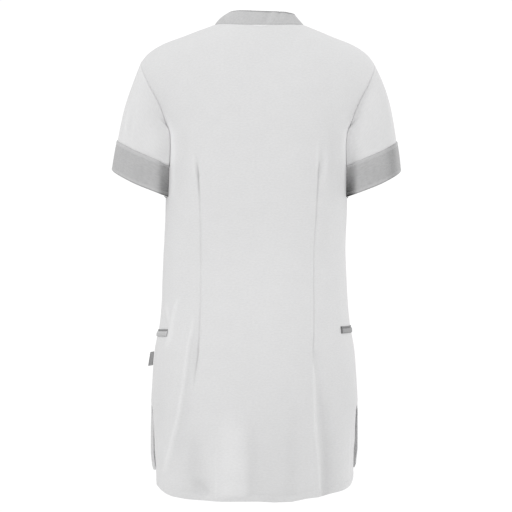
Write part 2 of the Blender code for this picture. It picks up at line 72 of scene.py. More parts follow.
OUTLINE = np.array([
    (-830, 182, -2.6), (-707, 182, -2.6), (-656, 180.4, -2.6), (-619, 178.5, -2.6), (-567, 174.6, -2.5),
    (-545, 170.8, -2.3), (-530, 167.6, -2.1), (-514, 165.4, -2), (-479, 162.4, -2.2), (-444, 161, -2.6),
    (-402, 159.2, -2.6), (-374, 158.4, -1.8), (-332, 158.4, 0), (-260, 158.4, 1.4), (-222, 158.6, 2),
    (-193, 161, 2.4), (-162, 173.5, 2.6), (-136, 187, 2.6), (-106, 203.5, 2.6), (-84, 208, 2.6),
    (-67, 205, 2.6), (-61, 201, 2.7), (-52, 194, 2.8), (-41, 180, 3), (-32, 163, 3.3), (-21.5, 135, 3.8),
    (-12, 111, 4.4), (-6, 95, 5), (0, 79, 5.5),
])

PROFILE = {
    BACK: np.array([
        (-830, 129, 2.25), (-656, 129, 2.25), (-619, 128, 2.25), (-567, 124, 2.25), (-514, 118, 2.25),
        (-444, 109.5, 2.3), (-402, 107.5, 2.3), (-374, 109, 2.35), (-304, 117, 2.4), (-250, 121, 2.4),
        (-200, 120.5, 2.4), (-150, 116, 2.35), (-100, 106, 2.2), (-60, 94, 2.1), (-30, 83, 2), (0, 70, 2),
    ]),
    FRONT: np.array([
        (-830, 131, 2.3), (-656, 130, 2.3), (-567, 127, 2.3), (-514, 123, 2.3), (-444, 118, 2.35),
        (-402, 117, 2.35), (-374, 119, 2.4), (-304, 131, 2.5), (-270, 139, 2.6), (-235, 142, 2.65),
        (-190, 137, 2.6), (-150, 127, 2.45), (-100, 108, 2.3), (-60, 90, 2.1), (-30, 74, 2), (0, 58, 2),
    ]),
}

ARMHOLE_REACH = {BACK: 51.0, FRONT: 66.0}
SLEEVE_HEM = np.array([(201.0, 8.0, -274.0), (51.0, 0.0, 22.5), (0.0, -61.0, -9.0)])
SLEEVE_HEM_FULL = 0.92
SLEEVE_LEAVES = np.array([
    (0, 0.42, 0, -0.91), (45, 0.62, -0.25, -0.75), (90, 0.72, -0.28, -0.62), (135, 0.55, -0.15, -0.8),
    (165, 0.15, -0.03, -0.98), (180, 0.04, 0, -1), (195, 0.15, 0.03, -0.98), (225, 0.5, 0.2, -0.82),
    (270, 0.66, 0.3, -0.66), (315, 0.6, 0.25, -0.76), (360, 0.42, 0, -0.91),
])
PRESS_Z = -205.0
PRESS_WAY = 22.0
# Way up from a sleeve's hem, then its gap to the body.
SLEEVE_CLEAR = np.array([(0.0, 2.2), (54.0, 2.2), (62.0, 0.3), (200.0, 0.3)])
SEAM = 0.2
BAND_GAP = 0.45

BAND_EDGE = np.array([
    (0, -55, 19.5), (22, -52, 20), (43, -40, 21), (56, -18, 20.5), (59, 8, 17), (56, 34, 4), (48, 58, -16),
    (35.5, 79, -43), (19, 97, -74), (0, 110.5, -106),
])
BAND_BOW = 2.0
BAND_LEAN = 0.03

FOLDS = {
    BACK: [
        (-110, -494, -162, -775, 7, 11, 2, 4),
        (-100, -650, -100, -830, 14, 22, -0.5, -6),
        (94, -590, 104, -830, 7, 9, 1, 4),
        (99, -560, 124, -830, 8, 19, -1.5, -8.5),
        (5, -600, 2, -830, 20, 26, -0.5, -3),
        (-68, -640, -62, -830, 14, 22, 0.5, 4),
        (55, -620, 58, -830, 18, 22, 0.3, 2.5),
    ],
    FRONT: [
        (-88, -540, -98, -830, 14, 22, 0.8, 5),
        (92, -560, 104, -830, 12, 20, 0.8, 5),
        (-42, -600, -46, -830, 14, 22, -0.5, -4.5),
        (48, -590, 44, -830, 14, 22, -0.5, -4.5),
        (2, -640, 4, -830, 14, 22, 0.3, 3),
    ],
}

SLIT_EDGE = {
    (BACK, LEFT): np.array([
        (0, 0), (0.1, -3.2), (0.26, -6), (0.43, -7.4), (0.56, -8.3), (0.67, -9.8), (0.8, -10.2), (1, -11.5),
    ]),
    (BACK, RIGHT): np.array([
        (0, 0), (0.1, -4), (0.26, -6.4), (0.43, -6.8), (0.56, -8.8), (0.67, -9.3), (0.8, -9.3), (1, -11.5),
    ]),
    (FRONT, LEFT): np.array([(0, 0), (0.3, -0.3), (0.66, -0.6), (0.79, -2.2), (0.86, -4.6), (1, -12)]),
    (FRONT, RIGHT): np.array([
        (0, 0), (0.1, 1), (0.3, 1.4), (0.6, 1), (0.68, -0.4), (0.79, -2), (0.86, -6), (1, -13),
    ]),
}
SLIT_OPENING = {BACK: 2.0, FRONT: 3.0}
# The share of the half width at which a slit's edge starts to bend, and its way.
SLIT_NEAR, SLIT_NEAR_WAY = 0.8, 0.2

HEM_RISE = {
    BACK: np.array([
        (-1, 14.5), (-0.955, 13.2), (-0.9, 12.2), (-0.875, 11), (-0.85, 8.4), (-0.82, 6.5), (-0.79, 4.7),
        (-0.765, 4), (-0.71, 2.9), (-0.66, 1.6), (-0.55, 0.6), (0, 0), (0.15, -1.4), (0.31, -0.6),
        (0.45, 3.4), (0.59, 5.2), (0.65, 5.2), (0.7, 6.6), (0.79, 11.2), (0.83, 13.2), (0.87, 15.2),
        (0.93, 17), (0.96, 20), (1, 26),
    ]),
    FRONT: np.array([
        (-1, 20), (-0.985, 17), (-0.96, 14), (-0.92, 10.5), (-0.85, 6), (-0.72, 2), (-0.55, 0), (0.55, 0),
        (0.72, 2), (0.85, 6), (0.92, 11), (0.96, 15), (0.985, 18), (1, 22),
    ]),
}

ROWS_BELOW = 18
ROWS_ABOVE = 12

# ---- sewing and small creases ----

# Darts: x and z of points down each line.
DARTS = {
    BACK: [
        [(-107, -238), (-105.6, -255), (-103.8, -270), (-101.5, -296), (-99, -330), (-96, -376),
            (-94.8, -427), (-95.6, -470), (-98, -520), (-99.6, -552), (-101.6, -573), (-104.5, -590),
            (-106.5, -607), (-108.5, -634)],
        [(102, -236), (101.3, -262), (100, -290), (98.6, -330), (97.8, -376), (97.8, -430), (97.6, -480),
            (96.5, -530), (95.5, -562), (96, -595)],
    ],
    FRONT: [
        [(-84, -286), (-86, -340), (-88, -400), (-89, -450), (-89, -510), (-88, -556)],
        [(85, -284), (87, -340), (89, -400), (90, -450), (90, -510), (89, -560)],
    ],
}
# Painted shade along the line of each dart, how dark: z, then tone; the front's are as dark as the right one
# behind.
DART_SHADES = {
    LEFT: np.array([
        (-650, 0), (-620, -0.04), (-605, -0.08), (-590, -0.14), (-575, -0.19), (-560, -0.16), (-545, -0.105),
        (-529, -0.075), (-499, -0.055), (-485, -0.01), (-415, -0.01), (-392, -0.045), (-340, -0.04),
        (-316, -0.03), (-301, -0.1), (-286, -0.23), (-270, -0.31), (-255, -0.155), (-240, -0.04), (-232, 0),
    ]),
    RIGHT: np.array([
        (-640, 0), (-600, -0.02), (-575, -0.03), (-560, -0.08), (-545, -0.075), (-529, -0.045), (-514, -0.03),
        (-499, -0.055), (-455, -0.045), (-440, -0.03), (-362, -0.03), (-346, -0.055), (-331, -0.09),
        (-316, -0.06), (-301, -0.13), (-286, -0.145), (-270, -0.18), (-255, -0.22), (-240, -0.12), (-230, 0),
    ]),
}
DART_SHADE_WIDE = 1.6
# Ridges lie in more light and troughs in less, nearly in full from the last height on.
RIDGE_TONE, TROUGH_TONE, FOLD_FULL = 0.075, 0.03, 1.6
DART_DEEP, DART_WIDE = 1.7, 1.3
DART_STEP, DART_SOFT = 0.35, 8.0

# Creases on the panels, as soft ridges (height above 0) and troughs: x and z of points along the line, half
# widths at its ends, heights there, the shares of its length over which its ends fade, and how many times wider
# it is on the side of greater x.
CREASES = {
    BACK: [
        ([(-105, -492), (-109, -524), (-117, -569), (-121, -605), (-127.5, -647), (-133, -681), (-141, -716),
            (-150.5, -757), (-160, -781)], 2.6, 4, 2, 3, 0.15, 0.12, 0.8),
        ([(-97, -505), (-103, -545), (-110, -590), (-117, -640), (-124, -690), (-138, -760)], 5, 9, -1.2,
            -2.2, 0.2, 0.2, 1),
        ([(-130, -468), (-139.6, -492), (-144.3, -518), (-148.7, -543), (-157, -570)], 3, 4, 2.3, 1.8, 0.25,
            0.3, 1),
        ([(-155, -478), (-149, -524)], 2.5, 2.5, 1.5, 1.5, 0.4, 0.4, 1),
        ([(95.5, -560), (97, -620), (98.6, -684), (104, -742), (108, -806)], 2.5, 3.2, 1.4, 2.4, 0.2, 0.05,
            0.8),
        ([(107.5, -604), (111, -654), (116.5, -690), (120, -724), (122, -756), (123, -812)], 6, 8.5, -1.6,
            -5.2, 0.3, 0.02, 1.9),
        ([(165, -690), (164, -740), (163, -792)], 2.5, 2.5, 1, 1.4, 0.4, 0.2, 1),
        ([(-112, -779), (-98, -793), (-84, -808)], 7, 9, -3.6, -3.6, 0.4, 0.2, 1),
        ([(-69.7, -700), (-69.5, -814)], 1.8, 2, 0.6, 1.1, 0.5, 0.05, 1),
        ([(-111, -214), (-107, -240), (-103.6, -276)], 5, 2.5, -1, -2.2, 0.5, 0.2, 1),
        ([(-117, -212), (-111, -244), (-108, -282)], 4, 3, 0.7, 0.9, 0.5, 0.4, 1),
        ([(107, -205), (105, -235), (101, -275)], 6, 3, -1.8, -2.4, 0.5, 0.2, 1),
        ([(98, -196), (99, -236), (98.5, -280)], 4.5, 3.5, 1, 1, 0.5, 0.4, 1),
        ([(117, -210), (116, -240), (110, -285)], 4.5, 3.5, 1, 0.9, 0.5, 0.4, 1),
        ([(121, -168), (125, -215), (128, -270), (124, -340)], 7, 9, -2.2, -1.4, 0.4, 0.5, 1),
        ([(-120, -170), (-130, -215), (-133, -260), (-130, -330)], 9, 11, -1.2, -0.8, 0.4, 0.5, 1),
        ([(-99.6, -548), (-104.5, -590), (-108, -622)], 4, 6, -2, -0.9, 0.3, 0.5, 1),
        ([(97, -560), (101, -585), (106, -612)], 4, 6, -1.4, -1.4, 0.2, 0.5, 1.5),
        ([(-118, -690), (-104, -740), (-98, -806)], 10, 14, -1.6, -3.2, 0.4, 0.05, 1),
        ([(-50, -640), (-44, -720), (-40, -812)], 16, 20, 1.2, 3, 0.5, 0.05, 1.3),
        ([(-10, -660), (-6, -740), (-6, -812)], 9, 12, -0.8, -2.2, 0.5, 0.05, 1),
        ([(58, -640), (60, -720), (60, -812)], 12, 14, -0.8, -2, 0.5, 0.05, 0.7),
    ],
    FRONT: [
        ([(-96, -250), (-120, -262), (-146, -268)], 7, 4, -2.2, -1.6, 0.4, 0.2, 1),
        ([(-98, -268), (-122, -284), (-147, -296)], 6, 4, 1.5, 1.2, 0.5, 0.2, 1),
        ([(98, -252), (122, -258), (147, -262)], 7, 4, -2, -1.5, 0.4, 0.2, 1),
        ([(100, -272), (124, -286), (148, -304)], 6, 4, 1.4, 1.2, 0.5, 0.2, 1),
        ([(-88, -552), (-94, -620), (-104, -700), (-112, -794)], 3.5, 6, 1.2, 2.4, 0.2, 0.05, 0.8),
        ([(89, -556), (96, -640), (110, -720), (118, -794)], 3.5, 6, 1.2, 2.2, 0.2, 0.05, 1.2),
        ([(-79, -570), (-82, -650), (-86, -720), (-88, -794)], 5, 8, -1.2, -3.2, 0.3, 0.05, 1.6),
        ([(80, -580), (82, -650), (88, -720), (92, -794)], 5, 8, -1, -2.6, 0.3, 0.05, 0.7),
        ([(0, -198), (2, -236), (-1, -300)], 5, 9, -1.6, -0.8, 0.15, 0.6, 1),
        ([(-60, -196), (-66, -230), (-76, -276)], 8, 6, -1.4, -1.4, 0.5, 0.4, 1),
        ([(62, -200), (68, -236), (78, -280)], 8, 6, -1.3, -1.4, 0.5, 0.4, 1),
        ([(-150, -470), (-140, -505), (-146, -540)], 3, 4, 1.3, 1, 0.3, 0.3, 1),
        ([(150, -476), (138, -512), (146, -548)], 3, 4, 1.2, 1, 0.3, 0.3, 1),
        ([(24, -640), (26, -720), (22, -796)], 2, 2.5, 0.6, 1.1, 0.5, 0.05, 1),
    ],
}

# Creases on the sleeves: turn round the armhole in degrees (0 at the shoulder seam, 90 behind, 180 at the
# underarm) and way down from it, then as above.
SLEEVE_CREASES = {
    LEFT: [
        ([(150, 30), (140, 70), (136, 112)], 7, 9, -0.8, -0.8, 0.4, 0.3, 1),
        ([(100, 26), (96, 66), (98, 106)], 8, 10, 0.9, 1, 0.4, 0.4, 1),
        ([(62, 40), (58, 80), (60, 120)], 5, 6, -1.3, -1.1, 0.5, 0.4, 1),
        ([(48, 44), (46, 80), (47, 120)], 4, 4, 1.2, 1.2, 0.5, 0.4, 1),
        ([(300, 20), (296, 60), (300, 110)], 8, 9, -2, -1.6, 0.4, 0.4, 1),
        ([(215, 16), (226, 50), (232, 90)], 6, 8, -2.2, -1.4, 0.4, 0.4, 1),
    ],
    RIGHT: [
        ([(136, 24), (130, 64), (126, 110)], 7, 9, -1.6, -1.6, 0.4, 0.3, 1),
        ([(116, 30), (110, 66), (108, 104)], 4, 5, 1.2, 1.2, 0.4, 0.4, 1),
        ([(88, 40), (84, 78), (84, 112)], 6, 8, -1.2, -1.2, 0.4, 0.4, 1),
        ([(44, 52), (41, 78), (43, 108)], 3.5, 3.5, 1.6, 1.4, 0.5, 0.5, 1),
        ([(298, 26), (292, 66), (296, 108)], 8, 9, -2, -1.8, 0.4, 0.4, 1),
        ([(212, 18), (222, 52), (230, 88)], 6, 8, -2, -1.5, 0.4, 0.4, 1),
    ],
}

# Creases on the neck band: how far along it from the middle of the back, and up from its seam, then as above.
BAND_CREASES = [
    ([(6, 0), (8, 16), (9, 32)], 3.2, 3.2, -0.7, -1, 0.2, 0.05, 1),
    ([(15, 0), (18, 16), (20, 32)], 4, 4, 1, 1.2, 0.2, 0.05, 1),
    ([(29, 12), (30, 22), (30.5, 32)], 1.7, 1.7, -1.2, -1.8, 0.3, 0.05, 1),
    ([(46, 4), (50, 18), (52, 32)], 4.5, 4.5, -1.3, -1.5, 0.2, 0.1, 1),
    ([(-22, 0), (-25, 18), (-26, 32)], 6, 6, -0.9, -0.9, 0.3, 0.2, 1),
    ([(-62, 4), (-64, 16), (-66, 30)], 5, 5, 0.9, 0.9, 0.3, 0.2, 1),
    ([(150, 2), (154, 14), (156, 28)], 5, 5, -0.9, -0.9, 0.3, 0.2, 1),
    ([(-158, 2), (-160, 14), (-164, 28)], 5, 5, -0.9, -0.9, 0.3, 0.2, 1),
]

SHELL = 1.2  # cloth wall, and the turned edge's thickness
EDGE_ROLL, EDGE_ROLL_WAY = 0.35, 0.7
SEAM_DEEP, SEAM_WAY = 0.6, 1.0
SLEEVE_SEAM_DEEP = 0.42
SEAM_TUCK = 0.9  # how far a sleeve's top edge reaches under the panels
CURL, CURL_WAY = {LEFT: 5.5, RIGHT: 2.2}, 9.0  # of the front panel's slit edges, in behind the back panel's
NECK_STITCH = 4.6  # from the neck seam
HEM_STITCH = 12.0
SLIT_STITCH = 9.0
CUFF_STITCH = 5.6
STITCH_GROOVE, STITCH_WAY = 0.35, 0.9
STRIP_RISE = 0.22  # of the doubled cloth between an edge and its stitching
STITCH_PITCH, STITCH_LENGTH, STITCH_WIDE, STITCH_SIDES = 3.0, 2.3, 0.26, 5
# The way along a stitch, its rise and its width there.
STITCH_STOPS = np.array([(0.0, -0.15, 0.4), (0.22, 0.1, 1.0), (0.78, 0.1, 1.0), (1.0, -0.15, 0.4)])
NECK_SEAM_WAY = 0.8
PUCKER, PUCKER_UP, PUCKER_WIDE = 0.16, 6.5, 4.5  # of the hem, between its edge and its stitching
CURL_DOWN = 40.0  # over which the curl starts below the slit's top
# The way over which a seam opens into its slit, the columns that the slit's stitching may cross, and how far
# above the slit and above the hem the stitching ends.
SLIT_FADE, SLIT_COLUMNS, SLIT_ROW_TOP, SLIT_ROW_LOW = 14.0, 60, 6.0, 16.0
# Painted shade on pressed edges, and a painted highlight on a cuff's stitched strips and on the panels' edges
# at the neck.
EDGE_SHADE, STRIP_HIGHLIGHT, NECK_HIGHLIGHT = -0.3, 0.15, 0.12

# Soft patches of painted shade in the back, and two of painted light beside the arms: x, z, half width, half
# height, tone. The side change below is painted light out to each side, lighter to the wearer's right and
# darker to the left.
SHADE_AND_LIGHT_PATCHES = [
    (25, -790, 52, 110, -0.055), (-118, -760, 22, 90, -0.03), (121, -760, 12, 90, -0.035),
    (92, -700, 60, 160, -0.012), (-40, -815, 160, 18, -0.022), (-97, -796, 13, 16, -0.03),
    (-163, -655, 20, 80, -0.035), (163, -655, 20, 80, -0.03), (-152, -212, 14, 45, 0.05),
    (150, -205, 16, 50, 0.07),
]
SIDE_LIGHT = 0.03
SIDE_LIGHT_X, SIDE_LIGHT_Z, SIDE_LIGHT_WAY = 150, -650, 300  # it grows upwards from this height, over this way
# Painted light, lighter about the middle of the back.
BACK_TONE, BACK_TONE_WIDE, BACK_TONE_Z, BACK_TONE_TALL = 0.026, 130, -400, 170  # about the middle of the back
BACK_DARKER = 0.004
# Painted shade along the panels' armhole seams, fading out below this height over this way.
ARMHOLE_SHADE, ARMHOLE_SHADE_WIDE, ARMHOLE_SHADE_Z, ARMHOLE_SHADE_WAY = -0.1, 0.9, -185, 45
SLEEVE_SHADE, SLEEVE_SHADE_X = {LEFT: -0.02, RIGHT: -0.17}, 164.0  # of a sleeve's back beside the body
# Painted light on the panels' edges low at the armholes, where they lie in shade.
NOTCH_LIGHT, NOTCH_WIDE, NOTCH_Z, NOTCH_TALL = 0.24, 2.5, -182, 18  # of the panels' edges low at the armholes
# Painted light on the body beside a sleeve, where it lies in shade: tone, how far in from its outline, half
# width, and between which heights.
BESIDE_ARM_LIGHT, BESIDE_ARM_IN, BESIDE_ARM_WIDE, BESIDE_ARM_TOP, BESIDE_ARM_LOW = 0.17, 8, 7, -150, -310
# Painted light on a sleeve's back just under its seam, by the underarm, where it lies in shade: tone, turn and
# half width in degrees.
SLEEVE_NOTCH_LIGHT, SLEEVE_NOTCH_TURN, SLEEVE_NOTCH_WIDE = 0.4, 138, 18
LIGHTEST = 0.27  # the most that a tone may lighten cloth, so that white cloth stays darker than paper white
# Painted shade on the left front panel's edge beside its slit, and painted light on the right one's, which lies
# in deep shade.
SLIT_LIGHT_AND_SHADE = {LEFT: -0.03, RIGHT: 0.3}  # of the front panel's edges beside the slits
# Painted light: the right sleeve a little lighter, as it lies in less light.
SLEEVE_LIGHT = {LEFT: 0.0, RIGHT: 0.022}

# How deep the back of a sleeve is tucked in beside the body: way up from the sleeve's hem, then depth.
TUCKS = {
    LEFT: np.array([(0.0, 9.0), (50.0, 7.0), (56.0, 0.0)]),
    RIGHT: np.array([(0.0, 10.0), (50.0, 8.0), (58.0, 3.0), (110.0, 0.0)]),
}
TUCK_WIDE, TUCK_SLOPE = 12.5, 8.0
FRONT_CLOSER = 0.8
# How much flatter the left sleeve hangs over the shoulder's tip: within which turn, how far down, and its way.
LEFT_FLATTER, LEFT_FLATTER_TURN, LEFT_FLATTER_DOWN, LEFT_FLATTER_WAY = 2.6, 42, 42, 38
# Under the arm a sleeve is gathered into a low ridge: height, turn, half width in degrees.
GATHER, GATHER_TURN, GATHER_WIDE = 1.4, 190, 14
# The turned seam allowance shows as a low rise below the armhole seam: height, how far down, half width.
SEAM_RISE, SEAM_RISE_DOWN, SEAM_RISE_WAY = 0.3, 2.4, 1.6
SLEEVE_SHADE_WIDE, SLEEVE_SHADE_TOP, SLEEVE_SHADE_WAY = 9, -196, 45
# Painted highlight on the sleeve beside the armhole seam.
SLEEVE_SEAM_HIGHLIGHT = 0.03  # beside the armhole seam
SLEEVE_PRESS_SOFT = 2.0
# The back of a sleeve fills the hollow beside the body: how far, from which gap it fades, over what, and where.
FILL, FILL_NEAR, FILL_FADE = 24.0, 10.0, 60.0
FILL_STOP = 8.6  # how far inside the body's outline the fill ends
FILL_BEHIND, FILL_BEHIND_FADE = -4.0, 20.0
FILL_TOP, FILL_TOP_FADE = -150.0, 50.0
HEM_DROP, HEM_DROP_TURN, HEM_DROP_WIDE = 6.5, 120, 28  # the sleeve's hem hangs lower about this turn
# How much taller than in the part the turned-up cuff looks: turn round the sleeve in degrees, then height.
CUFF_RISE = np.array([(0, 1.5), (50, 5.0), (90, 6.2), (150, 6.0), (180, 5.0), (270, 4.0), (360, 1.5)])


def read_off(table, at):
    """The second column of a table where its first one is at."""
    return np.interp(at, table[:, 0], table[:, 1])


def through(table, column, z):
    """The table's column at height z, on a smooth curve that never overshoots its rows."""
    levels, values = table[:, 0], table[:, column]
    step = np.diff(levels)
    slope = np.diff(values) / step
    before, after = slope[:-1], slope[1:]
    turning = before * after <= 0
    inner = np.where(turning, 0.0, 2 * before * after / np.where(turning, 1.0, before + after))
    slopes = np.concatenate([slope[:1], inner, slope[-1:]])
    z = np.asarray(z, float)
    i = np.clip(np.searchsorted(levels, z) - 1, 0, len(step) - 1)
    t = (z - levels[i]) / step[i]
    rise = values[i] + t * step[i] * slopes[i]
    bend = 3 * slope[i] - 2 * slopes[i] - slopes[i + 1]
    twist = slopes[i] + slopes[i + 1] - 2 * slope[i]
    return rise + step[i] * (bend * t**2 + twist * t**3)


def half_width(z):
    return through(OUTLINE, 1, z)


def middle(z):
    return through(OUTLINE, 2, z)


def body_y(side, x, z):
    full = through(PROFILE[side], 2, z)
    share = np.clip(np.abs(x) / half_width(z), 0, 1)
    return side * through(PROFILE[side], 1, z) * (1 - share**full) ** (1 / full)


def body_x(side, y, z):
    full = through(PROFILE[side], 2, z)
    share = np.clip(np.abs(y) / through(PROFILE[side], 1, z), 0, 1)
    return half_width(z) * (1 - share**full) ** (1 / full)


def body_normal(side, points):
    x, y, z = points[..., 0], points[..., 1], points[..., 2]

    def beyond(z):
        full = through(PROFILE[side], 2, z)
        across = np.abs(x - middle(z)) / half_width(z)
        along = np.abs(y) / through(PROFILE[side], 1, z)
        return across**full + along**full

    full = through(PROFILE[side], 2, z)
    wide, deep = half_width(z), through(PROFILE[side], 1, z)
    out_x = full * (np.abs(x - middle(z)) / wide) ** (full - 1) * np.sign(x - middle(z)) / wide
    out_y = full * (np.abs(y) / deep) ** (full - 1) * side / deep
    step = 0.25
    out_z = (beyond(z + step) - beyond(z - step)) / (2 * step)
    return unit(np.stack([out_x, out_y, out_z], axis=-1))


def unit(vectors):
    return vectors / np.linalg.norm(vectors, axis=-1, keepdims=True)


def smooth_step(t):
    t = np.clip(t, 0, 1)
    return t * t * (3 - 2 * t)


def bell(off):
    return np.exp(-(off**2))


def swell(side, x, z):
    """How far the hanging cloth stands off the form, by its large folds and beside the slits."""
    total = np.zeros(np.broadcast(x, z).shape)
    for x0, z0, x1, z1, wide0, wide1, high0, high1 in FOLDS[side]:
        along = (z0 - z) / (z0 - z1)
        t = np.clip(along, 0, 1)
        off = (x - (x0 + t * (x1 - x0))) / (wide0 + t * (wide1 - wide0))
        total = total + (high0 + t * (high1 - high0)) * smooth_step(along * 4 + 0.5) * bell(off)
    down_slit = (SLIT_TOP_Z - z) / (SLIT_TOP_Z - HEM_Z[side])
    near_edge = smooth_step((np.abs(x) / half_width(z) - SLIT_NEAR) / SLIT_NEAR_WAY)
    edges = [read_off(SLIT_EDGE[side, hand], down_slit) for hand in (LEFT, RIGHT)]
    edge = np.where(x < 0, edges[0], edges[1])
    return total + edge * near_edge


def lengths(points):
    """Distance along a line of points, from its first."""
    return np.concatenate([[0.0], np.cumsum(np.linalg.norm(np.diff(points, axis=0), axis=1))])


def smooth_line(points, count):
    """Points evenly spaced on a smooth line through the given ones."""
    points = np.asarray(points, float)
    spaced = lengths(points)
    table = np.column_stack([spaced, points])
    at = np.linspace(0, spaced[-1], 300)
    line = np.stack([through(table, k + 1, at) for k in range(points.shape[1])], axis=1)
    along = lengths(line)
    stops = np.linspace(0, along[-1], count)
    return np.stack([np.interp(stops, along, line[:, k]) for k in range(points.shape[1])], axis=1)


def beside(line, x, z):
    """How far points lie beside a line (positive on the side of greater x as it runs down), and at which share
    of its length."""
    line = smooth_line(line, 14) if len(line) > 2 else np.asarray(line, float)
    nearest = np.full(x.shape, np.inf)
    off, share = np.zeros(x.shape), np.zeros(x.shape)
    passed = lengths(line)
    for k in range(len(line) - 1):
        (x0, z0), (dx, dz) = line[k], line[k + 1] - line[k]
        long = math.hypot(dx, dz)
        t = np.clip(((x - x0) * dx + (z - z0) * dz) / long**2, 0, 1)
        gx, gz = x - x0 - t * dx, z - z0 - t * dz
        gap = np.hypot(gx, gz)
        near = gap < nearest
        nearest = np.where(near, gap, nearest)
        off = np.where(near, np.where(dx * gz - dz * gx > 0, gap, -gap), off)
        share = np.where(near, (passed[k] + t * long) / passed[-1], share)
    return off, share


def crease(x, z, line, wide0, wide1, high0, high1, fade0, fade1, skew):
    off, t = beside(line, x, z)
    ends = smooth_step(t / fade0) * smooth_step((1 - t) / fade1)
    wide = (wide0 + t * (wide1 - wide0)) * np.where(off > 0, skew, 1.0)
    return (high0 + t * (high1 - high0)) * ends * bell(off / wide)


def dart(x, z, line):
    """The sewn line of a dart, with its fold pressed to the middle."""
    off, t = beside(line, x, z)
    ends = smooth_step(t / 0.08) * smooth_step((1 - t) / 0.16)
    pressed = DART_STEP * np.tanh(-off * np.sign(x) / DART_WIDE) * bell(off / DART_SOFT)
    return ends * (pressed - DART_DEEP * bell(off / DART_WIDE))


# At which share of a panel's half width the ripples and the creases die away, so that the panels meet evenly.
RIPPLE_ENDS, CREASE_ENDS = 0.88, 0.965
RIPPLES = np.random.default_rng(11).uniform(size=(2, 24, 4))


def ripple(side, x, z):
    """The slight unevenness of hanging cloth: waves 35 to 130 mm long, at a tenth or two of a millimetre."""
    total = np.zeros(x.shape)
    for a, b, c, d in RIPPLES[(side + 1) // 2]:
        long = 35 + 95 * a
        turn = math.pi * (b - 0.5) * 0.9
        along = x * math.cos(turn) + z * math.sin(turn)
        total = total + 0.0022 * long * (0.4 + d) * np.sin(2 * math.pi * (along / long + c))
    return total * 0.5


def creases(side, x, z):
    total = np.zeros(x.shape)
    for line, *sizes in CREASES[side]:
        total = total + crease(x, z, line, *sizes)
    return total


# Painted shade along the darts' sewn lines.
def dart_shade(side, x, z):
    total = np.zeros(x.shape)
    for line in DARTS[side]:
        hand = LEFT if side == BACK and line[0][0] < 0 else RIGHT
        off, t = beside(line, x, z)
        ends = smooth_step(t / 0.03) * smooth_step((1 - t) / 0.05)
        total = total + ends * read_off(DART_SHADES[hand], z) * bell(off / DART_SHADE_WIDE)
    return total


def fold_tone(high):
    return np.where(high > 0, RIDGE_TONE, TROUGH_TONE) * np.tanh(high / FOLD_FULL)


def cloth(side, x, z, sewn=True):
    """Points of a panel's outer face and the form's directions there."""
    points = np.stack([x + middle(z), body_y(side, x, z), z], axis=-1)
    normals = body_normal(side, points)
    across = np.abs(x) / half_width(z)
    sewn_on = smooth_step((z - SLIT_TOP_Z) / 30)
    even = 1 - sewn_on * smooth_step((across - RIPPLE_ENDS) / 0.07)
    even_crease = 1 - sewn_on * smooth_step((across - CREASE_ENDS) / 0.03)
    high = swell(side, x, z) + even * ripple(side, x, z) + even_crease * creases(side, x, z)
    if sewn:
        for line in DARTS[side]:
            high = high + dart(x, z, line)
    return points + normals * high[..., None], normals


def armhole(side, turn):
    z = (SHOULDER_TIP_Z + UNDERARM_Z) / 2 + (SHOULDER_TIP_Z - UNDERARM_Z) / 2 * np.cos(turn)
    y = side * ARMHOLE_REACH[side] * np.sin(turn)
    return body_x(side, y, z), y, z


def shoulder_z(x):
    z = np.linspace(SHOULDER_TIP_Z, 0, 400)
    return np.interp(x, half_width(z)[::-1], z[::-1])


def neck_z(side, x):
    share = np.clip(np.abs(x) / NECK_HALF_WIDTH, 0, 1)
    if side == BACK:
        return BACK_NECK_Z * (1 - share**2)
    return FRONT_V_Z * (1 - share) ** FRONT_V_BOW


def top_z(side, x):
    x = np.abs(x)
    return np.where(x < NECK_HALF_WIDTH, neck_z(side, x), shoulder_z(x))


def panel_row(side, row):
    """The function that gives x and z of one row of a panel at a share u of its reach, from -1 to 1."""
    hem_edge = HEM_Z[side] + HEM_RISE[side][-1, 1]
    middle_split = UNDERARM_Z if side == BACK else FRONT_SPLIT_Z
    low = min(row / ROWS_BELOW, 1.0)
    high = max(row - ROWS_BELOW, 0) / ROWS_ABOVE
    to_hem = (1 - low) ** 5
    if high == 0:
        edge_z = hem_edge + (UNDERARM_Z - hem_edge) * low
        ends_z = [edge_z + to_hem * (HEM_RISE[side][end, 1] - HEM_RISE[side][-1, 1]) for end in (0, -1)]
        left_x, right_x = half_width(ends_z)
    else:
        left_x, _, edge_z = armhole(side, math.pi * (1 - high))
        right_x = left_x
    middle_top = neck_z(side, 0.0)
    middle_z = HEM_Z[side] + (middle_split - HEM_Z[side]) * low
    middle_z = middle_z + (middle_top - middle_z) * math.sin(high * math.pi / 2)
    tip_x = half_width(SHOULDER_TIP_Z)
    to_top = math.sin(high * math.pi / 2) ** 2

    def at(u):
        bow = u**2
        top_bow = top_z(side, u * tip_x) - ((1 - bow) * middle_top + bow * SHOULDER_TIP_Z)
        rise = read_off(HEM_RISE[side], u) - HEM_RISE[side][-1, 1] * bow
        z = (1 - bow) * middle_z + bow * edge_z + to_top * top_bow + to_hem * rise
        return u * np.where(u < 0, left_x, right_x), z

    return at


# Rows of a panel's fine grid, in the part's rows: close at the hem and at the neck and shoulders.
SHARES_ABOVE = np.concatenate([np.linspace(0, 0.93, 71)[:-1], np.linspace(0.93, 1, 13)])
ROW_STOPS = np.concatenate([
    np.linspace(0, 0.75, 17)[:-1],
    np.linspace(0.75, ROWS_BELOW, 195)[:-1],
    ROWS_BELOW + ROWS_ABOVE * 2 / math.pi * np.arcsin(SHARES_ABOVE),
])
COLUMNS_NECK, COLUMNS_EDGE = 30, 88
CROWD_DART, CROWD_EDGE = 3.2, 3.0  # how many times closer the columns lie by a dart and at an edge
DARTS_X = 98  # about where the darts lie


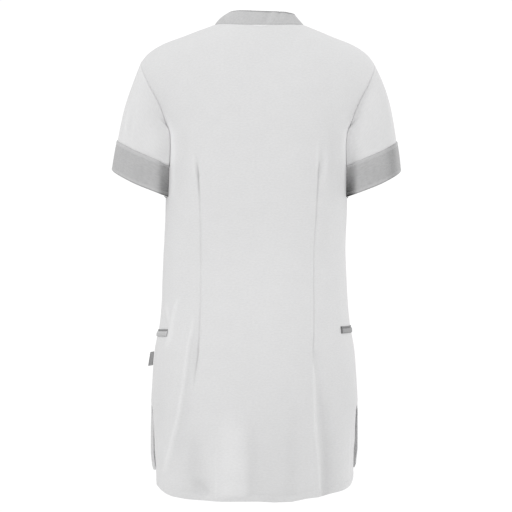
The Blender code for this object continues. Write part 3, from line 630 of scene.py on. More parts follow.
def panel_half(side, row, hand, dense, split):
    """x and z of one row's stops from the middle to the edge, closer by the dart and at the edge."""
    at = panel_row(side, row)
    x, z = at(hand * dense)
    along = lengths(np.stack([x, body_y(side, x, z), z], axis=1))
    down_slit = np.clip((SLIT_TOP_Z - z[-1]) / (SLIT_TOP_Z - HEM_Z[side]), 0, 1)
    end = along[-1] - SEAM - SLIT_OPENING[side] * down_slit
    sewn_line = next(np.array(line[::-1]) for line in DARTS[side] if line[0][0] * hand > 0)
    dart_x = np.interp(np.interp(DARTS_X, np.abs(x), z), sewn_line[:, 1], sewn_line[:, 0])
    crowd = 1 + CROWD_DART * bell((x - dart_x) / 4) + CROWD_EDGE * bell((end - along) / 3)
    passed = np.concatenate([[0], np.cumsum(np.diff(along) * (crowd[1:] + crowd[:-1]) / 2)])
    last = np.interp(end, along, passed)
    to_neck = np.linspace(0, passed[split], COLUMNS_NECK + 1)[:-1]
    to_edge = np.linspace(passed[split], last, COLUMNS_EDGE + 1)
    return at(hand * np.interp(np.concatenate([to_neck, to_edge]), passed, dense))


def panel_grid(side):
    """x and z of a panel's points: rows from the hem to the shoulder, columns from the wearer's left."""
    neck_share = NECK_HALF_WIDTH / half_width(SHOULDER_TIP_Z)
    dense = np.sort(np.append(np.sin(np.linspace(0, math.pi / 2, 900)), neck_share))
    split = int(np.searchsorted(dense, neck_share))
    rows = []
    for row in ROW_STOPS:
        left = panel_half(side, row, -1, dense, split)
        right = panel_half(side, row, 1, dense, split)
        rows.append([np.concatenate([a[:0:-1], b]) for a, b in zip(left, right)])
    rows = np.array(rows)
    return rows[:, 0], rows[:, 1]


def grid_normals(points, closed=False):
    if closed:
        across = np.roll(points, -1, axis=1) - np.roll(points, 1, axis=1)
    else:
        across = np.gradient(points, axis=1)
    return unit(np.cross(across, np.gradient(points, axis=0)))


def grid_lengths(points, axis):
    """Distance of each point of a grid from its first row (axis 0) or column (axis 1)."""
    steps = np.linalg.norm(np.diff(points, axis=axis), axis=-1)
    zero = np.zeros_like(np.take(steps, [0], axis=axis))
    return np.concatenate([zero, np.cumsum(steps, axis=axis)], axis=axis)


def new_mesh(name, points, faces):
    mesh = bpy.data.meshes.new(name)
    mesh.from_pydata((points * MM).tolist(), [], faces)
    mesh.validate()
    mesh.shade_smooth()
    return mesh


def put_in_scene(name, data):
    thing = bpy.data.objects.new(name, data)
    bpy.context.scene.collection.objects.link(thing)
    return thing


def wall(name, outer, inner, flat, tone, closed=False):
    """A cloth shell between an outer grid and an inner one with every second point, as an object. flat is where
    each outer point lies in the flat cloth and tone how much lighter the cloth is there."""
    rows, columns = outer.shape[:2]
    inner_rows, inner_columns = inner.shape[:2]

    def out(i, j):
        return i * columns + (j % columns if closed else j)

    def back(i, j):
        return rows * columns + i * inner_columns + (j % inner_columns if closed else j)

    def quads(point, down, across, corners):
        r, c = np.meshgrid(np.arange(down - 1), np.arange(across if closed else across - 1), indexing="ij")
        return np.stack([point(r + i, c + j) for i, j in corners], axis=-1).reshape(-1, 4).tolist()

    faces = quads(out, rows, columns, [(0, 0), (0, 1), (1, 1), (1, 0)])
    faces += quads(back, inner_rows, inner_columns, [(0, 0), (1, 0), (1, 1), (0, 1)])
    for k in range(inner_columns if closed else inner_columns - 1):
        a = 2 * k
        faces.append([out(0, a + 2), out(0, a + 1), out(0, a), back(0, k), back(0, k + 1)])
        top, low = rows - 1, inner_rows - 1
        faces.append([out(top, a), out(top, a + 1), out(top, a + 2), back(low, k + 1), back(low, k)])
    if not closed:
        for k in range(inner_rows - 1):
            a = 2 * k
            faces.append([out(a, 0), out(a + 1, 0), out(a + 2, 0), back(k + 1, 0), back(k, 0)])
            end, low = columns - 1, inner_columns - 1
            faces.append([out(a + 2, end), out(a + 1, end), out(a, end), back(k, low), back(k + 1, low)])
    mesh = new_mesh(name, np.concatenate([outer.reshape(-1, 3), inner.reshape(-1, 3)]), faces)
    flat = np.concatenate([flat.reshape(-1, 2), flat[::2, ::2].reshape(-1, 2)]) * MM
    flat = np.column_stack([flat, np.zeros(len(flat))])
    tone = np.minimum(np.concatenate([tone.ravel(), tone[::2, ::2].ravel()]), LIGHTEST)
    made = mesh.attributes.new("flat", "FLOAT_VECTOR", "POINT")
    made.data.foreach_set("vector", flat.astype(np.float32).ravel())
    made = mesh.attributes.new("tone", "FLOAT", "POINT")
    made.data.foreach_set("value", tone.astype(np.float32))
    mesh.set_sharp_from_angle(angle=math.radians(50))
    return put_in_scene(name, mesh)


def add_piece(thing, node, look):
    thing.data.materials.append(look)
    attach(thing, "root")
    if node:
        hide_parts(node)
    return thing


# ---- the looks ----


class Shade:
    """A shader socket that takes part in sums, which become Math or Vector Math nodes."""

    def __init__(self, tree, socket):
        self.tree, self.socket = tree, socket

    @staticmethod
    def put(tree, socket, value):
        if isinstance(value, Shade):
            tree.links.new(value.socket, socket)
        else:
            socket.default_value = value

    @classmethod
    def node(cls, tree, kind, settings=None, inputs=None, output=0):
        made = tree.nodes.new(kind)
        for key, value in (settings or {}).items():
            setattr(made, key, value)
        for key, value in (inputs or {}).items():
            cls.put(tree, made.inputs[key], value)
        return cls(tree, made.outputs[output])

    def sum(self, operation, left, right=0.0):
        kinds = [v.socket.type if isinstance(v, Shade) else type(v).__name__ for v in (left, right)]
        kind = "ShaderNodeVectorMath" if "VECTOR" in kinds or "tuple" in kinds else "ShaderNodeMath"
        return self.node(self.tree, kind, {"operation": operation}, {0: left, 1: right})

    def __add__(self, other):
        return self.sum("ADD", self, other)

    def __radd__(self, other):
        return self.sum("ADD", other, self)

    def __sub__(self, other):
        return self.sum("SUBTRACT", self, other)

    def __rsub__(self, other):
        return self.sum("SUBTRACT", other, self)

    def __mul__(self, other):
        return self.sum("MULTIPLY", self, other)

    def __rmul__(self, other):
        return self.sum("MULTIPLY", other, self)

    def sine(self):
        return self.sum("SINE", self)


def noise(tree, where, scale, detail):
    inputs = {"Vector": where, "Scale": scale, "Detail": detail}
    return Shade.node(tree, "ShaderNodeTexNoise", {"noise_dimensions": "3D"}, inputs, "Fac")


def twill(name, colour, rib=0.9, mottle=0.022, drift=0.014, rough=0.86, sheen=0.06, weave=0.35):
    """Matt twill: fine slanting ribs, a faint mottling along the yarns and slow drifts of tone."""
    made = bpy.data.materials.new(name)
    made.use_nodes = True
    tree = made.node_tree
    shader = tree.nodes["Principled BSDF"]
    flat = Shade.node(tree, "ShaderNodeAttribute", {"attribute_name": "flat"}, None, "Vector")
    # The placed tone holds the painted light and shade set on each piece, and the side tag's darker rim.
    placed_tone = Shade.node(tree, "ShaderNodeAttribute", {"attribute_name": "tone"}, None, "Fac")
    across = Shade.node(tree, "ShaderNodeSeparateXYZ", None, {0: flat}, "X")
    up = Shade.node(tree, "ShaderNodeSeparateXYZ", None, {0: flat}, "Y")
    turn = 2 * math.pi / (rib * MM)
    ribs = (across * (turn * 0.8) + up * (turn * 0.6)).sine()
    yarns = (across * (turn * 1.4)).sine() * (up * (turn * 1.4)).sine()
    along_weft = noise(tree, flat * (0.5, 1.0, 1.0), 420.0, 3.0)
    patches = noise(tree, flat, 38.0, 2.0)
    tone = 1 + (along_weft - 0.5) * (mottle * 4) + (patches - 0.5) * (drift * 2)
    tone = tone + ribs * (mottle * 0.7) + placed_tone
    ground = Shade.node(tree, "ShaderNodeCombineColor", None, {k: tone * colour[k] for k in range(3)})
    Shade.put(tree, shader.inputs["Base Color"], ground)
    Shade.put(tree, shader.inputs["Roughness"], rough + (along_weft - 0.5) * 0.12)
    shader.inputs["Sheen Weight"].default_value = sheen
    shader.inputs["Sheen Roughness"].default_value = 0.5
    shader.inputs["Specular IOR Level"].default_value = 0.25
    height = ribs * 0.5 + yarns * 0.3 + along_weft * 1.2
    relief = {"Strength": weave, "Distance": 0.00012, "Height": height}
    Shade.put(tree, shader.inputs["Normal"], Shade.node(tree, "ShaderNodeBump", None, relief))
    return made


WHITE = twill("white twill", (0.753, 0.753, 0.756), mottle=0.035, drift=0.018)
GREY = twill("grey twill", (0.485, 0.485, 0.488), rib=1.0, mottle=0.085, drift=0.06)
# The neck band's grey is the cuffs' cloth made lighter: painted light, as the band tilts up to the light.
BAND_GREY_LIT = twill("grey twill of the neck band in painted light", (0.56, 0.56, 0.563), rib=1.0, mottle=0.075, drift=0.06)
# A darker copy of the grey: painted shade on the right pocket's lower lip, which faces away from the light.
GREY_SHADED_LIP = twill("grey twill of the right pocket in painted shade", (0.37, 0.37, 0.373), rib=1.0, mottle=0.05)
# A darker copy of the grey: painted shade on the upper lips, in the pocket mouth.
GREY_MOUTH_SHADE = twill("grey twill in the pocket mouth in painted shade", (0.34, 0.34, 0.343), rib=1.0, mottle=0.05)
RIBBON = twill("dark ribbon", (0.37, 0.37, 0.374), rib=1.4, mottle=0.08, weave=0.6)
WHITE_THREAD = twill("white thread", (0.76, 0.76, 0.763), rib=0.5, mottle=0.03)
GREY_THREAD = twill("grey thread", (0.56, 0.56, 0.563), rib=0.5, mottle=0.03)

# ---- the panels ----


def beside_edge(gap, deep, way):
    return -deep * bell(gap / way)


def stitched_strip(gap, reach):
    """Relief of doubled cloth out to a line of stitching at reach from an edge."""
    strip = STRIP_RISE * smooth_step((reach + 1.0 - gap) / 2.0)
    return strip - STITCH_GROOVE * bell((gap - reach) / STITCH_WAY)


def line_at(points, normals, gap, value):
    """Where gap reaches value down each column of a grid, with the cloth's direction there."""
    both = np.concatenate([points, normals], axis=2)
    columns = range(both.shape[1])
    return np.array([[np.interp(value, gap[:, c], both[:, c, k]) for k in range(6)] for c in columns])


def stitches(name, lines, look):
    """Rows of single stitches along lines of points with directions, as one piece."""
    ways = np.arange(STITCH_SIDES) * 2 * math.pi / STITCH_SIDES
    verts, faces = [], []
    for line in lines:
        passed = lengths(line[:, :3])
        count = int(passed[-1] / STITCH_PITCH)
        starts = (np.arange(count) + 0.5) * passed[-1] / count - STITCH_LENGTH / 2
        rings = len(STITCH_STOPS)
        stops = starts[:, None] + STITCH_LENGTH * STITCH_STOPS[:, 0]
        found = np.stack([np.interp(stops, passed, line[:, k]) for k in range(6)], axis=-1)
        points, normals = found[..., :3], unit(found[..., 3:])
        along = unit(points[:, -1:] - points[:, :1])
        beside_it = unit(np.cross(normals, along))
        points = points + normals * STITCH_STOPS[:, 1, None]
        wide = STITCH_WIDE * STITCH_STOPS[:, 2, None, None]
        round_it = np.cos(ways)[:, None] * beside_it[:, :, None] + np.sin(ways)[:, None] * normals[:, :, None]
        first = sum(len(v) for v in verts)
        verts.append((points[:, :, None] + wide * round_it).reshape(-1, 3))
        for n in range(count):
            at = first + n * rings * STITCH_SIDES
            for ring in range(rings - 1):
                low = at + ring * STITCH_SIDES
                for k in range(STITCH_SIDES):
                    j = (k + 1) % STITCH_SIDES
                    faces.append([low + k, low + j, low + STITCH_SIDES + j, low + STITCH_SIDES + k])
            faces.append([at + k for k in reversed(range(STITCH_SIDES))])
            faces.append([at + (rings - 1) * STITCH_SIDES + k for k in range(STITCH_SIDES)])
    thing = put_in_scene(name, new_mesh(name, np.concatenate(verts), faces))
    return add_piece(thing, None, look)


def hang(points, closed=False, bent=False, body=None):
    """Works out a sheet's size from its grid of points, which is how it was cut, and does nothing with it. body
    is how many of its rows count for the width."""
    if closed:
        points = np.concatenate([points, points[:, :1]], axis=1)
    across, down = grid_lengths(points, 1)[:body, -1].max(), grid_lengths(points, 0)[-1].max()
    one, other = points[1:, :-1] - points[:-1, :-1], points[:-1, 1:] - points[:-1, :-1]
    area = np.linalg.norm(np.cross(one, other), axis=-1).sum()
    if bent:  # a strip cut on a curve: as long as its middle line, and as high as its area makes it
        across = grid_lengths(points, 1)[:, -1].mean()
        down = area / across
    area = min(area, across * down)
    down * MM
    area * MM * MM


panels = {}
for side, name in ((BACK, "back_panel"), (FRONT, "front_panel")):
    x, z = panel_grid(side)
    bare, normals = cloth(side, x, z)
    from_left, from_hem = grid_lengths(bare, 1), grid_lengths(bare, 0)
    to_side = np.minimum(from_left, from_left[:, -1:] - from_left)
    to_top = from_hem[-1:] - from_hem
    columns = np.arange(x.shape[1])
    by_neck = ((columns >= COLUMNS_EDGE) & (columns <= x.shape[1] - 1 - COLUMNS_EDGE))[None, :]
    under_slit = smooth_step((SLIT_TOP_Z - z) / SLIT_FADE)
    at_armhole = smooth_step((z - UNDERARM_Z) / 8)
    relief = np.zeros(x.shape)
    relief += (1 - under_slit) * beside_edge(to_side, SEAM_DEEP * (1 - 0.4 * at_armhole), SEAM_WAY)
    slit_relief = beside_edge(to_side, EDGE_ROLL, EDGE_ROLL_WAY) + stitched_strip(to_side, SLIT_STITCH)
    relief += under_slit * slit_relief
    relief += beside_edge(from_hem, EDGE_ROLL, EDGE_ROLL_WAY) + stitched_strip(from_hem, HEM_STITCH)
    neck_relief = beside_edge(to_top, SEAM_DEEP, NECK_SEAM_WAY) + stitched_strip(to_top, NECK_STITCH)
    relief += np.where(by_neck, neck_relief, beside_edge(to_top, SEAM_DEEP, SEAM_WAY))
    if side == FRONT:
        curl = np.where(x < 0, CURL[LEFT], CURL[RIGHT]) * smooth_step((CURL_WAY - to_side) / CURL_WAY)
        relief -= curl * smooth_step((SLIT_TOP_Z - z) / CURL_DOWN)
    # short waves along the hem, uneven from place to place
    puckers = np.sin(from_left / 3.1 + from_hem / 2.2 + 3 * np.sin(from_left / 41))
    puckers = puckers * np.sin(from_left / 67 + 1.3 * side)
    relief += PUCKER * puckers * bell((from_hem - PUCKER_UP) / PUCKER_WIDE)
    outer = bare + normals * relief[..., None]
    for edge, nearer in ((0, 1), (-1, -2)):
        outer[:, edge] += SEAM * (1 - under_slit[:, edge, None]) * unit(outer[:, edge] - outer[:, nearer])
    outer[-1] -= np.where(by_neck, 0, SEAM).T * unit(outer[-2] - outer[-1])
    inner, inner_normals = cloth(side, x[::2, ::2], z[::2, ::2], sewn=False)
    inner = inner - SHELL * inner_normals
    flat = np.stack([from_left - from_left[:, [x.shape[1] // 2]], from_hem + z[:1]], axis=-1)
    # a painted highlight on the panel just under the neck band
    tone = np.where(by_neck, NECK_HIGHLIGHT * smooth_step((3.4 - to_top) / 1.2), 0.0)
    # painted light on ridges, painted shade in troughs and along the darts
    tone = tone + fold_tone(creases(side, x, z)) + dart_shade(side, x, z)
    # painted shade along the armhole seams
    low_armhole = smooth_step((z - ARMHOLE_SHADE_Z) / ARMHOLE_SHADE_WAY)
    tone = tone + ARMHOLE_SHADE * bell(to_side / ARMHOLE_SHADE_WIDE) * low_armhole
    # painted light low at the armholes
    tone = tone + NOTCH_LIGHT * bell(to_side / NOTCH_WIDE) * bell((z - NOTCH_Z) / NOTCH_TALL)
    # painted light on the body beside the arms
    beside_arm = bell((half_width(z) - np.abs(x) - BESIDE_ARM_IN) / BESIDE_ARM_WIDE)
    beside_arm = BESIDE_ARM_LIGHT * beside_arm * smooth_step((BESIDE_ARM_TOP - z) / 30)
    tone = tone + beside_arm * smooth_step((z - BESIDE_ARM_LOW) / 30)
    if side == FRONT:
        # painted shade beside the left slit and painted light beside the right
        slit_painted = np.where(x < 0, SLIT_LIGHT_AND_SHADE[LEFT], SLIT_LIGHT_AND_SHADE[RIGHT])
        tone = tone + slit_painted * smooth_step((10 - to_side) / 6) * under_slit
    else:
        # painted light about the middle of the back
        tone = tone + BACK_TONE * bell(x / BACK_TONE_WIDE) * bell((z - BACK_TONE_Z) / BACK_TONE_TALL)
        # painted light, lighter to the wearer's right, and soft patches of painted shade and light
        grown = 0.5 + 0.5 * smooth_step((z - SIDE_LIGHT_Z) / SIDE_LIGHT_WAY)
        tone = tone + SIDE_LIGHT * x / SIDE_LIGHT_X * grown - BACK_DARKER
        for x0, z0, wide, tall, much in SHADE_AND_LIGHT_PATCHES:
            tone = tone + much * bell((x - x0) / wide) * bell((z - z0) / tall)
    thing = wall(f"{name}_cloth", outer, inner, flat, tone)
    add_piece(thing, name, WHITE)
    facing = grid_normals(outer)
    hem_row = line_at(outer, facing, from_hem, HEM_STITCH)
    neck = np.s_[::-1, by_neck[0]]
    rows = [hem_row[hem_row[:, 2] < SLIT_TOP_Z], line_at(outer[neck], facing[neck], to_top[neck], NECK_STITCH)]
    for way in (1, -1):
        turned = [grid[:, ::way].swapaxes(0, 1)[:SLIT_COLUMNS] for grid in (outer, facing)]
        gap = (from_left if way == 1 else from_left[:, -1:] - from_left)[:, ::way].T[:SLIT_COLUMNS]
        row = line_at(*turned, gap, SLIT_STITCH)
        rows.append(row[(row[:, 2] < SLIT_TOP_Z + SLIT_ROW_TOP) & (row[:, 2] > HEM_Z[side] + SLIT_ROW_LOW)])
    thread = stitches(f"{name}_stitches", rows, WHITE_THREAD)
    panels[side] = {"bare": bare, "normals": normals, "object": thing, "with": [thread]}

# ---- sleeves and cuffs ----

SLEEVE_TURNS = 168
SLEEVE_TOP_STOPS = np.concatenate([np.linspace(0, 0.05, 7)[:-1], np.linspace(0.05, 1.0, 57)])
CUFF_SLEEVE_ROWS = 12
SLEEVE_ROUND, CUFF_ROUND = 1.05, 1.02  # millimetres of flat cloth per degree


def sleeve_curves():
    turns = np.arange(SLEEVE_TURNS) * 2 * math.pi / SLEEVE_TURNS
    starts, normals = [], []
    for turn in turns:
        side = BACK if turn <= math.pi else FRONT
        x, y, z = armhole(side, turn if side == BACK else 2 * math.pi - turn)
        point = np.array([x + middle(z), y, z])
        normals.append(body_normal(side, point))
        starts.append(point - [middle(z), 0, 0])
    starts, normals = np.array(starts), np.array(normals)
    along = unit(np.roll(starts, -1, axis=0) - np.roll(starts, 1, axis=0))
    away = unit(np.cross(normals, along))
    fold_under = np.sin(turns / 2)[:, None] ** 2
    starts = starts + 1.5 * SEAM * away + 2 * SEAM * fold_under * normals
    centre, outward, backward = SLEEVE_HEM
    wave = np.array([np.cos(turns), np.sin(turns)])
    wave = np.sign(wave) * np.abs(wave) ** SLEEVE_HEM_FULL
    ends = centre + wave[0][:, None] * outward + wave[1][:, None] * backward
    ends[:, 2] -= HEM_DROP * bell((np.degrees(turns) - HEM_DROP_TURN) / HEM_DROP_WIDE)
    leave = [np.interp(np.degrees(turns), SLEEVE_LEAVES[:, 0], SLEEVE_LEAVES[:, k]) for k in (1, 2, 3)]
    leave = unit(np.stack(leave, axis=1))
    even = np.ones(len(turns))
    arrive = unit(np.stack([0.07 + 0.09 * np.cos(turns), 0.08 * even, -even], axis=1))
    return turns, starts, ends, leave, arrive, normals


def pressed_off(points, amount):
    x, y, z = points[..., 0], points[..., 1], points[..., 2]
    side_x = np.where(y < 0, body_x(BACK, y, z), body_x(FRONT, y, z)) + amount
    side_x = np.where(y < 0, np.maximum(side_x, half_width(z) - FILL_STOP), side_x)
    gap = x - side_x
    pushed = side_x + (gap + np.sqrt(gap**2 + SLEEVE_PRESS_SOFT**2)) / 2
    return np.stack([pushed, y, z], axis=-1)


def filled(points):
    """The points, with those at the back moved in towards the body where the gap beside it is small."""
    x, y, z = points[..., 0], points[..., 1], points[..., 2]
    gap = x - body_x(BACK, y, z)
    near = 1 - smooth_step((gap - FILL_NEAR) / FILL_FADE)
    behind = smooth_step((FILL_BEHIND - y) / FILL_BEHIND_FADE)
    below = smooth_step((FILL_TOP - z) / FILL_TOP_FADE)
    return np.stack([x - FILL * near * behind * below, y, z], axis=-1)


def sleeve_lines():
    """Lines down the right sleeve from its armhole to its hem, one a column, and the form's directions at
    their tops."""
    turns, starts, ends, leave, arrive, seam_normals = sleeve_curves()
    reach = np.linalg.norm(ends - starts, axis=1)[:, None]
    t = np.linspace(0, 1, 160)[:, None, None]
    a, b = 2 * t**3 - 3 * t**2 + 1, t**3 - 2 * t**2 + t
    c, d = 3 * t**2 - 2 * t**3, t**3 - t**2
    fine = a * starts + b * reach * leave + c * ends + d * reach * arrive
    fine = fine + smooth_step(t / 0.15) * (filled(fine) - fine)
    clear = read_off(SLEEVE_CLEAR, way_up(fine)) - FRONT_CLOSER * smooth_step(fine[..., 1] / 15)
    low = smooth_step(t / 0.22) * smooth_step((PRESS_Z - fine[..., 2]) / PRESS_WAY)[..., None]
    low_behind = smooth_step(t / 0.12) * smooth_step((FILL_TOP - fine[..., 2]) / 30)[..., None]
    low = low + smooth_step(-fine[..., 1:2] / 20) * (np.maximum(low, low_behind) - low)
    return turns, fine + low * (pressed_off(fine, clear) - fine), seam_normals


def way_up(lines):
    """Distance up each line from its end."""
    steps = np.linalg.norm(np.diff(lines, axis=0), axis=-1)
    return np.concatenate([np.cumsum(steps[::-1], axis=0)[::-1], np.zeros((1, lines.shape[1]))])


def tucked(lines, hand):
    """The lines with the sleeve's back tucked in beside the body, where they come close to it."""
    x, y, z = lines[..., 0], lines[..., 1], lines[..., 2]
    close = smooth_step((TUCK_WIDE - (x - half_width(z))) / TUCK_SLOPE) * smooth_step(-y / 24)
    return np.stack([x, y + read_off(TUCKS[hand], way_up(lines)) * close, z], axis=-1)


def on_lines(lines, stops_of):
    """A grid of points on the lines: stops_of gives each line's stops by its length, and past its ends the line
    runs straight on."""
    columns = []
    for c in range(lines.shape[1]):
        line = lines[:, c]
        down = lengths(line)
        stops = stops_of(down[-1], c)
        point = np.stack([np.interp(stops, down, line[:, k]) for k in range(3)], axis=1)
        beyond = np.clip(stops - down[-1], 0, None)[:, None]
        before = np.clip(-stops, 0, None)[:, None]
        columns.append(point + beyond * unit(line[-1] - line[-3]) + before * unit(line[0] - line[2]))
    return np.stack(columns, axis=1)


def sleeve_piece(name, hand, look, outer, inner, flat, tone):
    """A cloth tube from grids on the right sleeve, moved to its hand's place, and its outer grid there."""
    faces = []
    for face in (outer, inner):
        face = face.copy()
        face[..., 0] = hand * face[..., 0] + middle(face[..., 2])
        faces.append(face)
    grids = [grid[:, ::-1] if hand == LEFT else grid for grid in (*faces, flat, tone)]
    # the rows run down here, so the grids are turned over to face outwards
    outer, inner, flat, tone = (grid[::-1] for grid in grids)
    thing = wall(f"{name}_cloth", outer, inner[::2, ::2], flat, tone, closed=True)
    return add_piece(thing, name, look), outer[::-1]


turns, lines, seam_normals = sleeve_lines()
cuff_heights = CUFF_HEIGHT + read_off(CUFF_RISE, np.degrees(turns))


def sleeve_stops(long, column):
    high = cuff_heights[column]
    hidden = np.linspace(high, 1.4, CUFF_SLEEVE_ROWS + 1)[1:]
    return np.concatenate([[-SEAM_TUCK, -SEAM_TUCK / 2], SLEEVE_TOP_STOPS * (long - high), long - hidden])


for hand in (LEFT, RIGHT):
    word = WORDS[hand]
    hand_lines = tucked(lines, hand)
    points = on_lines(hand_lines, sleeve_stops)
    normals = grid_normals(points, closed=True)
    under = np.sin(turns / 2)[:, None] ** 4
    for row in range(3):
        normals[row] = unit((1 - under) * seam_normals + under * normals[3])
    down = grid_lengths(points, 0) - SEAM_TUCK
    degrees = np.broadcast_to(np.degrees(turns), down.shape)
    around = degrees * SLEEVE_ROUND
    high = np.zeros(down.shape)
    for line, *sizes in SLEEVE_CREASES[hand]:
        high += crease(around, down, [(turn * SLEEVE_ROUND, way) for turn, way in line], *sizes)
    above_cuff = down[len(SLEEVE_TOP_STOPS) + 1][None] - down
    to_cuff = smooth_step((above_cuff - 1) / 10)
    high *= to_cuff * smooth_step(down / 6)
    if hand == LEFT:
        wrapped = (degrees + 180) % 360 - 180
        flatter = LEFT_FLATTER * bell(wrapped / LEFT_FLATTER_TURN)
        high -= flatter * bell((down - LEFT_FLATTER_DOWN) / LEFT_FLATTER_WAY)
    seam_rise = bell((down - SEAM_RISE_DOWN) / SEAM_RISE_WAY)
    # painted light on ridges, painted shade in troughs, a painted highlight beside the seam and painted light
    # on the right sleeve
    tone = fold_tone(high) + SLEEVE_SEAM_HIGHLIGHT * seam_rise + SLEEVE_LIGHT[hand]
    # painted light just under the seam by the underarm
    notch = SLEEVE_NOTCH_LIGHT * bell((degrees - SLEEVE_NOTCH_TURN) / SLEEVE_NOTCH_WIDE)
    tone = tone + notch * smooth_step((34 - down) / 20)
    x, y, z = points[..., 0], points[..., 1], points[..., 2]
    inward = bell((x - SLEEVE_SHADE_X) / SLEEVE_SHADE_WIDE) * smooth_step(-y / 15)
    tone = tone + SLEEVE_SHADE[hand] * (inward * smooth_step((SLEEVE_SHADE_TOP - z) / SLEEVE_SHADE_WAY))
    gather = GATHER * bell((degrees - GATHER_TURN) / GATHER_WIDE)
    high += gather * smooth_step((above_cuff + 0.5) / 3) * smooth_step(down / 8)
    sewn = beside_edge(np.clip(down, 0, None), SLEEVE_SEAM_DEEP, SEAM_WAY)
    sewn = sewn + 0.5 * np.clip(down, None, 0) + SEAM_RISE * seam_rise
    outer = points + normals * (high + sewn)[..., None]
    thin = 0.8 + 0.4 * to_cuff
    inner = points + normals * (high - thin)[..., None]
    flat = np.stack([around, -down], axis=-1)
    thing, outer = sleeve_piece(f"sleeve_{word}", hand, WHITE, outer, inner, flat, tone)
    hang(outer, closed=True)

CUFF_ROWS = 38
# Darker places on the cuffs, in the shade: hand, turn in degrees, half width, tone.
CUFF_SHADES = [(RIGHT, 50, 16, -0.22), (LEFT, 100, 12, 0.03)]
CUFF_PUFF, CUFF_PUFF_MIDDLE, CUFF_WAVE = 1.6, 0.5, 0.25  # how far it stands off the sleeve, more at its middle
CUFF_INSIDE = 0.35
CUFF_FOLD_OUT, CUFF_FOLD_IN = [0.9, -0.4, -1.5], [0.35, -0.1, -0.9]  # both faces where it is folded under
# Beside the body: from which x, over what way, and the tones at the cuff's top and hem.
CUFF_BODY_SHADE = {LEFT: (180, 26, -0.22, -0.62), RIGHT: (175, 17, -0.08, -0.9)}


def cuff(hand):
    """The turned-up cuff: a band round the sleeve's hem, folded under it, stitched along both edges."""
    top_rows, even_rows = [0, 0.5, 1.2], np.linspace(2.2, CUFF_HEIGHT - 2.2, CUFF_ROWS - 8)
    low_rows = [CUFF_HEIGHT - 1.2, CUFF_HEIGHT - 0.4, CUFF_HEIGHT, CUFF_HEIGHT, CUFF_HEIGHT]
    rows_down = np.concatenate([top_rows, even_rows, low_rows])
    hand_lines = tucked(lines, hand)

    def stops(long, column, rows=rows_down):
        return long - cuff_heights[column] * (1 - rows / CUFF_HEIGHT)

    points = on_lines(hand_lines, stops)
    even = np.linspace(0, CUFF_HEIGHT, len(rows_down))
    normals = grid_normals(on_lines(hand_lines, lambda long, column: stops(long, column, even)), closed=True)
    share = rows_down / CUFF_HEIGHT
    puff = CUFF_PUFF + CUFF_PUFF_MIDDLE * np.sin(math.pi * share)
    gap = np.minimum(rows_down, CUFF_HEIGHT - rows_down)
    out = puff + 1.3 * STRIP_RISE * smooth_step((CUFF_STITCH + 0.8 - gap) / 1.6)
    out = out - 1.4 * STITCH_GROOVE * bell((gap - CUFF_STITCH) / STITCH_WAY) - 0.9 * bell(gap / 0.8)
    out[-3:] = CUFF_FOLD_OUT
    inside = np.full(len(rows_down), CUFF_INSIDE)
    inside[-3:] = CUFF_FOLD_IN
    return rows_down, points, normals, out, inside


for hand in (LEFT, RIGHT):
    word = WORDS[hand]
    rows_down, points, normals, out, inside = cuff(hand)
    degrees = np.broadcast_to(np.degrees(turns), points.shape[:2])
    wave = CUFF_WAVE * np.sin(degrees * math.pi / 180 * 5 + hand)
    wave = wave * np.sin(math.pi * rows_down / CUFF_HEIGHT)[:, None]
    # the last row only shapes the one before it, and the shell needs an odd number of rows
    outer = points + normals * (out[:, None] + wave)[..., None]
    inner = points + normals * np.broadcast_to(inside[:, None], wave.shape)[..., None]
    outer, inner, rows_down, degrees = outer[:-1], inner[:-1], rows_down[:-1], degrees[:-1]
    flat = np.stack([degrees * CUFF_ROUND, np.broadcast_to(-rows_down[:, None], degrees.shape)], axis=-1)
    gap = np.minimum(rows_down, CUFF_HEIGHT - rows_down)
    at_hem = np.where(rows_down < CUFF_HEIGHT / 2, 0.0, 1.0)
    # a painted highlight on the stitched strips and painted shade at the edges, both darker at the hem
    tone = (STRIP_HIGHLIGHT - 0.05 * at_hem) * smooth_step((CUFF_STITCH + 0.6 - gap) / 1.2)
    tone = tone + EDGE_SHADE * (0.2 + 0.8 * at_hem) * smooth_step((2.0 - gap) / 0.8)
    tone = np.broadcast_to(tone[:, None], degrees.shape)
    for which, turn, wide, much in CUFF_SHADES:
        if which == hand:
            tone = tone + much * bell((degrees - turn) / wide)
    start, way, at_top, at_low = CUFF_BODY_SHADE[hand]
    shade = smooth_step((start - outer[..., 0]) / way) * smooth_step(-outer[..., 1] / 20)
    tone = tone + shade * (at_top + (at_low - at_top) * (rows_down / CUFF_HEIGHT)[:, None])
    thing, outer = sleeve_piece(f"cuff_{word}", hand, GREY, outer, inner, flat, tone)
    level = np.broadcast_to(rows_down[:, None], degrees.shape)
    facing = grid_normals(outer[::-1], closed=True)[::-1]
    stops = (CUFF_STITCH, CUFF_HEIGHT - CUFF_STITCH)
    rows = [line_at(outer[:-3], facing[:-3], level[:-3], stop) for stop in stops]
    rows = [np.concatenate([row, row[:1]]) for row in rows]
    thread = stitches(f"cuff_{word}_stitches", rows, GREY_THREAD)
    hang(outer, closed=True)

# ---- neck band ----

BAND_HALF = 150
# Painted shade along the band's free edge.
BAND_EDGE_SHADES = [(-0.2, 5.6, 2.6), (-0.3, 3.4, 1.2)]  # along its free edge: tone, reach and way of each
BAND_FLATTER, BAND_FLATTER_AT, BAND_FLATTER_WIDE = 2.1, 44, 23  # how much flatter it is at the right shoulder
BAND_ROWS = 23
BAND_ROLL, BAND_SEAM_DEEP, BAND_WAY = 0.55, 0.5, 0.9  # of its free edge and of its seam, and the way of both
BAND_RIM, BAND_RIM_IN, BAND_RIM_WAY = 0.25, 2.2, 1.6  # a low rise beside its free edge


